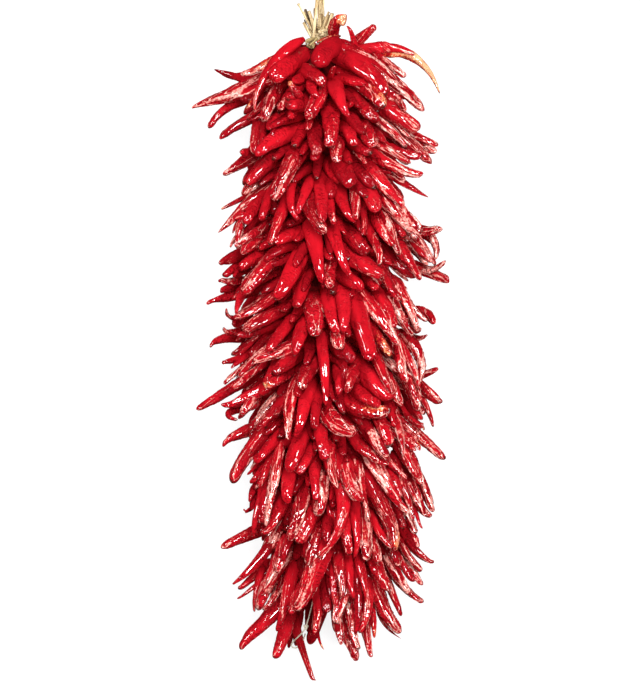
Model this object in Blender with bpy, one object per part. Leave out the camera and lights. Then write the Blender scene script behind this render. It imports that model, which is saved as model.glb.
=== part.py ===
"""A string of dried red chillies, lying on its back on a flat surface.

Metres, +Z up. The string runs along Y, with the hanging loop towards +Y, and the side that is
shown when the string hangs faces +Z. The chillies are one solid out to their uneven outline. At
the top end a tie holds a fan of cut straw stalks and a hanging loop of twine, and a thin thread
comes out of the bottom end.

The parts are laid out about the string's top end: "across" runs along X, "down" runs along -Y
towards the bottom end, and heights are above the floor. Last, everything moves so that the
origin is under the middle of the object.
"""

import math
from random import Random

import bmesh
import bpy
from mathutils import Matrix, Vector
from mathutils.geometry import interpolate_bezier

# Driving dimensions.
STRING_LENGTH = 0.70
AXIS_HEIGHT = 0.088
POD_LENGTH = 0.118
POD_RADIUS = 0.0145
STEM_RADIUS = 0.026
TIERS = 14
TIERS_START = 0.012
PODS_IN_TIER = 10
POD_SIDES = 5
LEAST_HEIGHT = 0.009
SAG = 0.80
FRONT_DROP = 0.30
CORE_START = 0.006
CORE_END = 0.752
CORE_RINGS = 18
CORE_SIDES = 16
CORE_SWELL = 0.004
CORE_SWELLS = 5
CORE_BELOW = 2.2
FLOOR_SINK = 0.004
GAP = 0.0004
SEED = 12

# How much the chillies of the tiers differ: in their turn round the string as a share of a step,
# in lean in degrees, in how far they bow in metres, and in length and radius as shares.
TURN_SPREAD = 0.25
LEAN_SPREAD = 7
BOW_SPREAD = 0.008
LENGTH_SHARES = (0.86, 1.12)
RADIUS_SHARES = (0.92, 1.12)

# A chilli's rings, as (share of its length from the stem, share of its radius).
POD_RINGS = ((0.0, 0.50), (0.34, 1.0), (0.80, 0.74))

# (down, value) stations, read by straight lines between them.
LEAN_DEGREES = ((0.0, 96), (0.06, 80), (0.14, 66), (0.32, 60), (0.48, 54), (0.60, 34), (0.70, 14))
STRING_X = ((0.0, -0.008), (0.12, -0.003), (0.27, 0.0), (0.49, -0.004), (0.58, 0.006), (0.70, 0.012))
CORE_WIDTH = ((0.006, 0.034), (0.03, 0.056), (0.08, 0.066), (0.50, 0.070), (0.62, 0.064),
              (0.70, 0.052), (0.752, 0.030))
CORE_ABOVE = ((0.006, 0.026), (0.03, 0.044), (0.08, 0.060), (0.50, 0.062), (0.62, 0.052),
              (0.70, 0.034), (0.752, 0.012))

# The chillies that stand clear of the rest are a little thinner, and reach out most at the sides.
STRAY_RADIUS = 0.8 * POD_RADIUS
STRAY_LEAN_AT = 0.4
STRAY_FULL_REACH = 0.12
STRAY_STEM_RISE = 0.3
STRAY_BOW = 0.25

# Each as (distance down of the tip, its reach to the side, length, height of the tip from the
# string, how far it hooks towards the bottom end).
STRAY_PODS = (
    (0.042, -0.144, 0.135, 0.010, -0.016), (0.086, -0.182, 0.150, -0.008, 0.000),
    (0.116, -0.158, 0.130, 0.020, 0.006), (0.134, -0.143, 0.125, -0.024, 0.004),
    (0.148, -0.112, 0.095, 0.000, -0.012), (0.185, -0.136, 0.120, 0.012, 0.004),
    (0.227, -0.139, 0.125, -0.016, 0.000), (0.255, -0.140, 0.125, 0.018, 0.006),
    (0.301, -0.142, 0.120, -0.004, -0.006), (0.326, -0.142, 0.110, -0.030, -0.010),
    (0.352, -0.160, 0.130, 0.004, -0.004), (0.371, -0.132, 0.110, 0.026, -0.014),
    (0.409, -0.158, 0.140, -0.010, -0.004), (0.431, -0.138, 0.120, 0.022, 0.000),
    (0.505, -0.173, 0.150, 0.006, 0.006), (0.512, -0.126, 0.100, -0.026, 0.004),
    (0.543, -0.140, 0.125, -0.012, 0.002), (0.587, -0.104, 0.090, -0.034, 0.004),
    (0.599, -0.128, 0.140, 0.030, 0.008), (0.635, -0.108, 0.100, -0.020, 0.000),
    (0.687, -0.140, 0.140, 0.004, -0.006), (0.732, -0.130, 0.140, -0.014, -0.010),
    (0.756, -0.116, 0.120, 0.012, 0.002), (0.818, -0.120, 0.130, -0.010, -0.004),
    (-0.030, 0.027, 0.080, -0.004, -0.012), (-0.018, 0.069, 0.085, 0.010, -0.004),
    (0.014, 0.119, 0.125, 0.026, -0.004), (0.070, 0.155, 0.150, 0.012, 0.024),
    (0.050, 0.109, 0.095, -0.014, 0.008), (0.097, 0.139, 0.130, 0.020, 0.006),
    (0.122, 0.126, 0.115, -0.018, 0.004), (0.143, 0.152, 0.135, 0.006, 0.000),
    (0.170, 0.143, 0.120, 0.024, 0.006), (0.212, 0.139, 0.120, 0.000, 0.004),
    (0.254, 0.158, 0.125, 0.014, -0.008), (0.293, 0.155, 0.120, -0.012, 0.012),
    (0.325, 0.169, 0.130, 0.002, 0.000), (0.379, 0.149, 0.120, 0.020, -0.004),
    (0.397, 0.134, 0.105, -0.024, -0.004), (0.446, 0.151, 0.125, 0.008, -0.010),
    (0.489, 0.157, 0.130, -0.008, -0.004), (0.520, 0.147, 0.120, 0.024, 0.006),
    (0.568, 0.162, 0.140, 0.000, 0.006), (0.645, 0.140, 0.130, 0.012, 0.002),
    (0.707, 0.146, 0.130, -0.010, 0.012), (0.734, 0.130, 0.120, 0.016, 0.002),
    (0.761, 0.132, 0.130, -0.014, 0.004), (0.804, 0.103, 0.125, 0.006, 0.006),
    (0.834, -0.069, 0.120, 0.006, 0.000), (0.871, -0.013, 0.150, 0.022, 0.004),
    (0.834, 0.042, 0.125, -0.004, 0.002), (0.822, 0.058, 0.115, -0.024, 0.000),
)

# The tie at the top end: a short wrapped barrel square to the string, and its knot in front.
TIE_TOP = -0.010
TIE_BOTTOM = 0.004
TIE_WIDTH = 0.0115
TIE_DEPTH = 0.0095
TIE_SIDES = 12
KNOT_RADIUS = 0.0058
KNOT_ACROSS = 0.004
KNOT_FLATTENED = 0.85
KNOT_LUMPS = 0.09

# The tie's rings, as (share of the way to its top, share of its width and depth).
TIE_RINGS = ((0, 0.78), (0.18, 1.0), (0.82, 1.0), (1, 0.90))

# The space kept free round the tie and the stalks, as (down, radius).
TUFT_ROOM = ((CORE_START - GAP, 0.0150), (TIE_TOP, 0.0185), (-0.070, 0.0340))
TUFT_ROOM_SIDES = 12

# Stalks in layers from front to back, each row from left to right as
# (turn from straight up the string in degrees, length, thickness).
LAYER_STEP = 0.0054
LAYER_LEAN = 0.10
STALK_STEP = 0.0050
STALK_SIDES = 6
STALK_BEND = 0.0012
STALK_SLANT = 0.125

# Rings along a stalk after its root, as (share of its length, share of its thickness). The first
# stalk thins out to a knob.
STALK_RINGS = ((0.5, 1.02), (0.92, 0.96), (1.0, 0.90))
KNOBBED_RINGS = ((0.5, 0.9), (0.90, 0.8), (0.93, 1.5), (0.98, 1.5), (1.0, 0.8))

STALK_LAYERS = (
    ((-26, 0.053, 0.0026), (-13, 0.040, 0.0046), (19, 0.039, 0.0036), (27, 0.037, 0.0048)),
    ((-23, 0.041, 0.0046), (-5, 0.042, 0.0040), (8, 0.031, 0.0046), (23, 0.029, 0.0044)),
    ((-30, 0.029, 0.0040), (-25, 0.036, 0.0042), (3, 0.034, 0.0044), (15, 0.028, 0.0044)),
)

# Cords, as (across, down, height) points along the middle.
LOOP_THICKNESS = 0.0046
LOOP_ROUTE = (
    (-0.0150, 0.0020, 0.1008), (-0.0145, -0.0140, 0.1030), (-0.0130, -0.0300, 0.1020),
    (-0.0115, -0.0470, 0.0975), (-0.0105, -0.0620, 0.0885), (-0.0100, -0.0750, 0.0745),
    (-0.0105, -0.0860, 0.0565), (-0.0120, -0.0940, 0.0370), (-0.0150, -0.1010, 0.0185),
    (-0.0195, -0.1110, 0.0065), (-0.0230, -0.1250, 0.0027), (-0.0205, -0.1400, 0.0026),
    (-0.0110, -0.1495, 0.0026), (0.0020, -0.1480, 0.0026), (0.0095, -0.1370, 0.0026),
    (0.0090, -0.1220, 0.0030), (0.0050, -0.1090, 0.0085), (0.0010, -0.0990, 0.0215),
    (-0.0020, -0.0890, 0.0370), (-0.0040, -0.0770, 0.0515), (-0.0045, -0.0630, 0.0635),
    (-0.0045, -0.0470, 0.0715), (-0.0055, -0.0300, 0.0745), (-0.0065, -0.0140, 0.0745),
    (-0.0070, 0.0010, 0.0750),
)
TAIL_THICKNESS = 0.0019
TAIL_ROUTE = (
    (-0.0160, 0.7560, 0.0620), (-0.0190, 0.7700, 0.0610), (-0.0225, 0.7830, 0.0590),
    (-0.0260, 0.7950, 0.0560), (-0.0300, 0.8020, 0.0500), (-0.0345, 0.8075, 0.0420),
    (-0.0395, 0.8130, 0.0330), (-0.0440, 0.8180, 0.0240), (-0.0460, 0.8225, 0.0170),
    (-0.0440, 0.8260, 0.0140), (-0.0400, 0.8265, 0.0150), (-0.0360, 0.8240, 0.0190),
    (-0.0325, 0.8200, 0.0240), (-0.0295, 0.8140, 0.0290), (-0.0270, 0.8060, 0.0340),
)
TAIL_ROOM = 0.0020
TAIL_ROOM_SIDES = 6

RED = (0.46, 0.008, 0.014, 1)
STRAW = (0.62, 0.47, 0.25, 1)
THREAD = (0.78, 0.70, 0.56, 1)


def station(stations, down):
    """The value at a distance down the string, by straight lines between the stations."""
    if down <= stations[0][0]:
        return stations[0][1]
    for (low, first), (high, second) in zip(stations, stations[1:]):
        if down <= high:
            return first + (second - first) * (down - low) / (high - low)
    return stations[-1][1]


def on_string(down):
    """The string's own place at a distance down from its top end."""
    return Vector((station(STRING_X, down), -down, AXIS_HEIGHT))


def clear_scene():
    for thing in list(bpy.data.objects):
        bpy.data.objects.remove(thing, do_unlink=True)


def material(name, colour, roughness):
    made = bpy.data.materials.new(name)
    made.use_nodes = True
    shader = made.node_tree.nodes["Principled BSDF"]
    shader.inputs["Base Color"].default_value = colour
    shader.inputs["Roughness"].default_value = roughness
    shader.inputs["Metallic"].default_value = 0.0
    return made


def add_object(name, data, surface):
    data.materials.append(surface)
    thing = bpy.data.objects.new(name, data)
    bpy.context.scene.collection.objects.link(thing)
    return thing


def mesh_of(shape, name):
    bmesh.ops.recalc_face_normals(shape, faces=shape.faces)
    made = bpy.data.meshes.new(name)
    shape.to_mesh(made)
    shape.free()
    return made


def skin(rings, name, tip=None):
    """A mesh that joins rings of points, in order, with flat ends or a pointed tip."""
    shape = bmesh.new()
    made = [[shape.verts.new(point) for point in ring] for ring in rings]
    sides = len(made[0])
    for low, high in zip(made, made[1:]):
        for k in range(sides):
            shape.faces.new((low[k], low[(k + 1) % sides], high[(k + 1) % sides], high[k]))
    shape.faces.new(made[0][::-1])
    if tip is None:
        shape.faces.new(made[-1])
    else:
        point = shape.verts.new(tip)
        for k in range(sides):
            shape.faces.new((made[-1][k], made[-1][(k + 1) % sides], point))
    return mesh_of(shape, name)


def ring_around(centre, along, radius, sides):
    """A ring of points round a centre, square to the direction along."""
    across = along.orthogonal().normalized()
    other = along.cross(across).normalized()
    turns = (2 * math.pi * k / sides for k in range(sides))
    return [centre + radius * (math.cos(t) * across + math.sin(t) * other) for t in turns]


def add_pod(pods, stem, tip, bow, radius):
    """One chilli: a faceted spindle from its stem end to its tip, bowed by a vector at its middle."""
    middle = (stem + tip) / 2 + bow

    def place(share):
        return (1 - share) ** 2 * stem + 2 * share * (1 - share) * middle + share**2 * tip

    def heading(share):
        return ((1 - share) * (middle - stem) + share * (tip - middle)).normalized()

    rings = [ring_around(place(s), heading(s), radius * w, POD_SIDES) for s, w in POD_RINGS]
    pods.objects.link(bpy.data.objects.new("pod", skin(rings, "pod", tip)))


def leaning(down, turn, more=0.0):
    """How far a chilli leans out from the string, less at the front, where it drops over others."""
    return math.radians(station(LEAN_DEGREES, down) * (1 - FRONT_DROP * max(0, math.sin(turn))) + more)


def laid(heading, stem, length):
    """A heading that sags a little, and turns along the floor where the chilli would go below it."""
    heading = Vector((heading.x, heading.y, SAG * heading.z)).normalized()
    lowest = (LEAST_HEIGHT - stem.z) / length
    if heading.z >= lowest:
        return heading
    flat = Vector((heading.x, heading.y, 0)).normalized() * math.sqrt(1 - lowest**2)
    return Vector((flat.x, flat.y, lowest))


def pod_rows(pods, random):
    """Tiers of chillies round the string, leaning out less and less towards the bottom end."""
    for tier in range(TIERS):
        for k in range(PODS_IN_TIER):
            down = TIERS_START + STRING_LENGTH * (tier + random.uniform(0.1, 0.9)) / TIERS
            step = k + 0.5 * (tier % 2) + random.uniform(-TURN_SPREAD, TURN_SPREAD)
            turn = 2 * math.pi * step / PODS_IN_TIER
            lean = leaning(down, turn, random.uniform(-LEAN_SPREAD, LEAN_SPREAD))
            length = POD_LENGTH * random.uniform(*LENGTH_SHARES)
            out = Vector((math.cos(turn), 0, math.sin(turn)))
            stem = on_string(down) + STEM_RADIUS * out
            heading = laid(math.cos(lean) * Vector((0, -1, 0)) + math.sin(lean) * out, stem, length)
            sway = Vector((random.uniform(-1, 1), random.uniform(-1, 1), random.random()))
            bow = BOW_SPREAD * sway
            radius = POD_RADIUS * random.uniform(*RADIUS_SHARES)
            add_pod(pods, stem, stem + length * heading, bow, radius)


def stray_pods(pods):
    """The chillies that stand clear of the rest."""
    for down, reach, length, rise, hook in STRAY_PODS:
        tip = Vector((reach, -down, AXIS_HEIGHT + rise))
        if down < 0:
            climb = math.sqrt(length**2 - (reach - on_string(0).x) ** 2)
            stem = on_string(down + climb)
        else:
            lean = leaning(down - STRAY_LEAN_AT * length, 0)
            spread = math.copysign(min(1.0, abs(reach) / STRAY_FULL_REACH), reach)
            heading = Vector((spread * math.sin(lean), -math.cos(lean) - hook / length, 0))
            stem = tip - length * heading.normalized()
        stem.z = AXIS_HEIGHT + STRAY_STEM_RISE * rise
        add_pod(pods, stem, tip, Vector((0, -hook, STRAY_BOW * abs(rise))), STRAY_RADIUS)


def core():
    """The middle of the bundle, round on top and pressed flat underneath."""
    rings = []
    for i in range(CORE_RINGS):
        down = CORE_START + (CORE_END - CORE_START) * i / (CORE_RINGS - 1)
        wide = station(CORE_WIDTH, down)
        above = station(CORE_ABOVE, down)
        below = min(AXIS_HEIGHT + FLOOR_SINK, CORE_BELOW * wide)
        ring = []
        for k in range(CORE_SIDES):
            turn = 2 * math.pi * k / CORE_SIDES
            swell = CORE_SWELL * math.sin(CORE_SWELLS * turn + 1.9 * i)
            side = (wide + swell) * math.copysign(abs(math.cos(turn)) ** 0.8, math.cos(turn))
            height = math.sin(turn)
            rise = above * height if height > 0 else -below * abs(height) ** 0.6
            ring.append(on_string(down) + Vector((side, 0, rise)))
        rings.append(ring)
    return skin(rings, "chilli_bundle")


def route_points(route, thickness):
    """Points along a smooth curve through a cord's route, every three thicknesses."""
    knots = [Vector((across, -down, height)) for across, down, height in route]
    slopes = [(b - a) / 2 for a, b in zip([knots[0], *knots], [*knots[1:], knots[-1]])]
    fine = []
    for first, second, start, end in zip(knots, knots[1:], slopes, slopes[1:]):
        fine += interpolate_bezier(first, first + start / 3, second - end / 3, second, 24)[:-1]
    fine.append(knots[-1])
    steps = [(b - a).length for a, b in zip(fine, fine[1:])]
    count = round(sum(steps) / (3 * thickness))
    points = [fine[0]]
    travelled, wanted = 0.0, sum(steps) / count
    for step, point in zip(steps, fine[1:]):
        travelled += step
        if travelled >= wanted * len(points) and len(points) < count:
            points.append(point)
    return [*points, fine[-1]]


def cord(name, route, thickness, surface):
    """A tube along a route, with filled ends."""
    curve = bpy.data.curves.new(name, "CURVE")
    curve.dimensions = "3D"
    curve.bevel_depth = thickness / 2
    curve.bevel_resolution = 2
    curve.use_fill_caps = True
    points = route_points(route, thickness)
    spline = curve.splines.new("POLY")
    spline.points.add(len(points) - 1)
    for point, place in zip(spline.points, points):
        point.co = (*place, 1)
    return add_object(name, curve, surface)


def helper(name, mesh):
    """A solid that only cuts or joins another."""
    made = bpy.data.objects.new(name, mesh)
    made.hide_render = True
    made.display_type = "WIRE"
    bpy.context.scene.collection.objects.link(made)
    return made


def tuft_room():
    """The space kept free round the tie and the fan of stalks."""
    rings = [
        ring_around(on_string(down), Vector((0, 1, 0)), radius, TUFT_ROOM_SIDES)
        for down, radius in TUFT_ROOM
    ]
    return helper("tuft_room", skin(rings, "tuft_room"))


def tail_room():
    """The space kept free round the thread at the bottom end."""
    points = [Vector((across, -down, height)) for across, down, height in TAIL_ROUTE]
    ends = [points[0], *points, points[-1]]
    rings = [
        ring_around(point, after - before, TAIL_ROOM, TAIL_ROOM_SIDES)
        for before, point, after in zip(ends, points, ends[2:])
    ]
    return helper("tail_room", skin(rings, "tail_room"))


def floor_block():
    """Everything below the floor."""
    shape = bmesh.new()
    bmesh.ops.create_cube(shape, size=2.0, matrix=Matrix.Translation((0, -0.4, -1.0)))
    return helper("floor_block", mesh_of(shape, "floor_block"))


def keep_outer_shell(made):
    """Drops the hollows that chillies shut in between them, which leaves the outer surface."""
    shape = bmesh.new()
    shape.from_mesh(made)
    left = set(shape.faces)
    shells = []
    while left:
        todo = [left.pop()]
        shell = []
        while todo:
            face = todo.pop()
            shell.append(face)
            pairs = [edge.link_faces for edge in face.edges if len(edge.link_faces) == 2]
            found = {other for pair in pairs for other in pair} & left
            left -= found
            todo += found
        shells.append(shell)
    largest = max(shells, key=len)
    others = [face for shell in shells if shell is not largest for face in shell]
    bmesh.ops.delete(shape, geom=others, context="FACES")
    bmesh.ops.triangulate(shape, faces=shape.faces)
    shape.to_mesh(made)
    shape.free()


def chilli_bundle(surface):
    """The chillies as one solid: the core, the rows and the strays joined, and cut by the floor."""
    bundle = add_object("chilli_bundle", core(), surface)
    pods = bpy.data.collections.new("pods")
    bpy.context.scene.collection.children.link(pods)
    pod_rows(pods, Random(SEED))
    stray_pods(pods)
    join = bundle.modifiers.new("join", "BOOLEAN")
    join.operation = "UNION"
    join.solver = "MANIFOLD"
    join.operand_type = "COLLECTION"
    join.collection = pods
    cutters = [floor_block(), tuft_room(), tail_room()]
    for cutter in cutters:
        cut = bundle.modifiers.new(cutter.name, "BOOLEAN")
        cut.operation = "DIFFERENCE"
        cut.solver = "MANIFOLD"
        cut.object = cutter
    graph = bpy.context.evaluated_depsgraph_get()
    whole = bpy.data.meshes.new_from_object(bundle.evaluated_get(graph), depsgraph=graph)
    bundle.modifiers.clear()
    bundle.data = whole
    for used in [*pods.objects, *cutters]:
        bpy.data.objects.remove(used, do_unlink=True)
    keep_outer_shell(whole)


def tuft_tie(surface):
    """The wrapped barrel that holds the stalks, with its edges rounded."""
    middle = on_string(0)
    rings = []
    for share, size in TIE_RINGS:
        down = TIE_BOTTOM + (TIE_TOP - TIE_BOTTOM) * share
        turns = [2 * math.pi * k / TIE_SIDES for k in range(TIE_SIDES)]
        rings.append([
            Vector((middle.x + size * TIE_WIDTH * math.cos(t), -down,
                    middle.z + size * TIE_DEPTH * math.sin(t)))
            for t in turns
        ])
    add_object("tuft_tie", skin(rings, "tuft_tie"), surface)


def ball(name, centre, radius, surface):
    """A small knot: a lumpy ball, flatter along the string."""
    shape = bmesh.new()
    bmesh.ops.create_icosphere(shape, subdivisions=2, radius=radius)
    for vertex in shape.verts:
        place = vertex.co / radius
        lump = 1 + KNOT_LUMPS * math.sin(5.2 * place.x + 1.0) * math.cos(4.6 * place.z)
        flattened = Vector((vertex.co.x, KNOT_FLATTENED * vertex.co.y, vertex.co.z))
        vertex.co = flattened * lump + centre
    add_object(name, mesh_of(shape, name), surface)


def straw_stalks(surface):
    """The fan of cut stalks above the tie, each from the tie's top face to its slanting cut end."""
    number = 0
    for layer, row in enumerate(STALK_LAYERS):
        height = AXIS_HEIGHT + (1 - layer) * LAYER_STEP
        for k, (turn, length, thickness) in enumerate(row):
            number += 1
            across = on_string(0).x + (k - (len(row) - 1) / 2) * STALK_STEP
            root = Vector((across, -TIE_TOP + GAP, height))
            lean = math.radians(turn)
            along = Vector((math.sin(lean), math.cos(lean), LAYER_LEAN * (1 - layer))).normalized()
            flat = ring_around(root, Vector((0, 1, 0)), thickness / 2, STALK_SIDES)
            rings = [flat]
            for share, size in KNOBBED_RINGS if number == 1 else STALK_RINGS:
                bend = STALK_BEND * math.sin(2.3 * number) * math.sin(math.pi * share)
                centre = root + length * share * along + Vector((bend, 0, 0))
                rings.append(ring_around(centre, along, size * thickness / 2, STALK_SIDES))
            slant = STALK_SLANT * thickness * math.cos(2.1 * number)
            rings[-1] = [p + along * slant * (k % 3 - 1) for k, p in enumerate(rings[-1])]
            name = f"straw_stalk_{number:02d}"
            add_object(name, skin(rings, name), surface)


def recentre():
    """Moves everything so that the origin is under the middle of the object without its cords."""
    bpy.context.view_layer.update()
    corners = [
        thing.matrix_world @ Vector(corner)
        for thing in bpy.data.objects if thing.type == "MESH"
        for corner in thing.bound_box
    ]
    middle = [(min(c[k] for c in corners) + max(c[k] for c in corners)) / 2 for k in (0, 1)]
    for thing in bpy.data.objects:
        thing.location -= Vector((*middle, 0))


def main():
    clear_scene()
    skin_of_pods = material("chilli_skin", RED, 0.35)
    straw = material("straw", STRAW, 0.7)
    thread = material("thread", THREAD, 0.8)
    chilli_bundle(skin_of_pods)
    tuft_tie(straw)
    knot_place = on_string(TIE_TOP) + Vector((KNOT_ACROSS, 0, TIE_DEPTH + KNOT_RADIUS + 2 * GAP))
    ball("tie_knot", knot_place, KNOT_RADIUS, straw)
    straw_stalks(straw)
    cord("hanging_loop", LOOP_ROUTE, LOOP_THICKNESS, straw)
    cord("tail_thread", TAIL_ROUTE, TAIL_THICKNESS, thread)
    recentre()


main()
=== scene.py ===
"""The looks of a string of dried red chillies: several hundred separate chillies with creased,
glossy skins, a tuft of cut straw with its tie, a hanging loop of twine and a thin thread.

Metres. Places are given as (across, down, height): across the string to its right, down the string
from its top end, and above the floor. The shown side faces up.
"""

import math

import bmesh
import bpy
import numpy as np
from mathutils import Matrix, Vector
from mathutils.geometry import interpolate_bezier


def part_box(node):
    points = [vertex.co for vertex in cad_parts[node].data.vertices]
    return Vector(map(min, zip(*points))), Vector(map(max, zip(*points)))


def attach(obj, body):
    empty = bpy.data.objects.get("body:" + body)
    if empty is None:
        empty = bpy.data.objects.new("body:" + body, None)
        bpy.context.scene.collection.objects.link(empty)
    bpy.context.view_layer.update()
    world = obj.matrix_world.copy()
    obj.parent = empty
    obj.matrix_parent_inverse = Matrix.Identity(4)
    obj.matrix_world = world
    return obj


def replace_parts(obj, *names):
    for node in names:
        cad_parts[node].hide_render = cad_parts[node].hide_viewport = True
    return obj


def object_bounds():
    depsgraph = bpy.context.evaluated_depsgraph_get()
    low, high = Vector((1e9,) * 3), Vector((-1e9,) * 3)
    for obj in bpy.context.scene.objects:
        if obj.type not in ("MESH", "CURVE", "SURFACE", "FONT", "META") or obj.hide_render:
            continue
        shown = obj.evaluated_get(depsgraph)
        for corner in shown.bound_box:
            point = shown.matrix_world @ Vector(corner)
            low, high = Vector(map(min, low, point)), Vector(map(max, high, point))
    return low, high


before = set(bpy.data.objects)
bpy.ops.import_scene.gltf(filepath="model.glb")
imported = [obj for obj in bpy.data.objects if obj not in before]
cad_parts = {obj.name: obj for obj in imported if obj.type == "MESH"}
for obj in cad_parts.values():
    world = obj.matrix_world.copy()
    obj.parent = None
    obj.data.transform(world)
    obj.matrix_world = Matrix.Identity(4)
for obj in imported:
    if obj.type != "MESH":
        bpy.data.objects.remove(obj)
cad_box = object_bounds()

SEED = 41
chance = np.random.default_rng(SEED)

# The string's top end is at the foot of the tie. Its middle line runs AXIS_HEIGHT above the floor.
tie_low, tie_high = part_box("tuft_tie")
bundle_low, bundle_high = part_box("chilli_bundle")
TIE_ACROSS = -0.008
TIE_BOTTOM = 0.004
TOP_X = (tie_low[0] + tie_high[0]) / 2 - TIE_ACROSS
TOP_Y = tie_low[1] + TIE_BOTTOM
AXIS_HEIGHT = (tie_low[2] + tie_high[2]) / 2
CEILING = bundle_high[2] - 0.001
MM = 0.001

# (down, value) stations, read by straight lines between them: the lean of the chillies in degrees,
# the string's own place, how far the bundle swells to each side and to the front, and how far the
# dense middle of it reaches to the left and to the right.
LEAN_DEGREES = ((0.0, 96), (0.06, 80), (0.14, 66), (0.32, 60), (0.48, 54), (0.60, 34), (0.70, 14))
STRING_X = ((0.0, -0.008), (0.12, -0.003), (0.27, 0.0), (0.49, -0.004), (0.58, 0.006),
            (0.70, 0.012))
HALF_WIDTH = ((-0.04, 0.07), (0.0, 0.11), (0.06, 0.14), (0.15, 0.146), (0.5, 0.15), (0.65, 0.138),
              (0.75, 0.118), (0.82, 0.09), (0.88, 0.06))
FRONT_RISE = ((-0.04, 0.03), (0.0, 0.066), (0.04, 0.096), (0.1, 0.112), (0.5, 0.114), (0.6, 0.104),
              (0.7, 0.088), (0.8, 0.06), (0.87, 0.04))
DENSE_LEFT = ((-0.02, 0.03), (0.05, 0.076), (0.12, 0.080), (0.2, 0.088), (0.3, 0.100), (0.4, 0.100),
              (0.48, 0.092), (0.51, 0.078), (0.58, 0.074), (0.62, 0.080), (0.74, 0.080),
              (0.80, 0.06), (0.86, 0.02))
DENSE_RIGHT = ((-0.02, 0.05), (0.05, 0.088), (0.12, 0.100), (0.17, 0.096), (0.21, 0.090),
               (0.24, 0.100), (0.3, 0.102), (0.335, 0.088), (0.36, 0.100), (0.5, 0.110),
               (0.6, 0.112), (0.7, 0.104), (0.76, 0.088), (0.80, 0.06), (0.84, 0.04))

# How each finish of chilli looks: how deep its furrows, how high its crests and how rough its
# crumples are as shares of its radius, how bleached its skin is, how dark (for the inner finish a
# painted shade), how tan, and how far along it the tan starts.
FINISH_TRAITS = ("furrow", "crest", "crumple", "pale", "dark", "tan", "tan_from")
FINISHES = {
    "S": (0.07, 0.00, 0.007, 0.04, 0.0, 0.0, 0.9),  # plump and smooth
    "C": (0.17, 0.05, 0.026, 0.26, 0.0, 0.0, 0.9),  # creased
    "W": (0.27, 0.09, 0.048, 0.46, 0.0, 0.0, 0.9),  # wrinkled
    "P": (0.27, 0.13, 0.044, 0.92, 0.0, 0.2, 0.7),  # pale
    "D": (0.17, 0.04, 0.026, 0.04, 0.45, 0.0, 0.9),  # dark
    # The inner finish is darkened as painted shade, for the deep gaps between the chillies.
    "I": (0.17, 0.04, 0.026, 0.02, 0.60, 0.0, 0.9),  # inner
    "M": (0.05, 0.00, 0.006, 0.00, 0.90, 0.0, 0.9),  # matte and dark
    "T": (0.17, 0.05, 0.030, 0.24, 0.0, 0.8, 0.9),  # tan at the tip
    "L": (0.20, 0.10, 0.034, 0.60, 0.0, 3.2, 0.72),  # long and straw-coloured at the tip
    "F": (0.24, 0.10, 0.040, 1.7, 0.3, 0.55, 0.5),  # faded
    "H": (0.22, 0.11, 0.034, 0.30, 0.1, 1.4, 0.93),  # the hooked stub beside the tie
}

# How a chilli tapers: the share of its width that it loses, how early it starts to lose it, and how
# much of its length the end rounds off in, each between a least and a most. The last number is how
# far its tip may curl aside, as a share of its radius.
TAPERS = {
    "b": ((0.38, 0.62), (1.1, 1.8), (0.08, 0.15), 0.3),  # blunt
    "r": ((0.06, 0.16), (1.2, 1.6), (0.17, 0.23), 0.1),  # a round stub
    "p": ((0.60, 0.78), (1.1, 1.7), (0.04, 0.07), 0.6),  # pointed
    "t": ((0.86, 0.94), (1.5, 2.1), (0.01, 0.02), 0.6),  # a long tail
    "f": ((-0.25, -0.15), (1.5, 2.0), (0.06, 0.08), 0.2),  # flared
}

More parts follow.
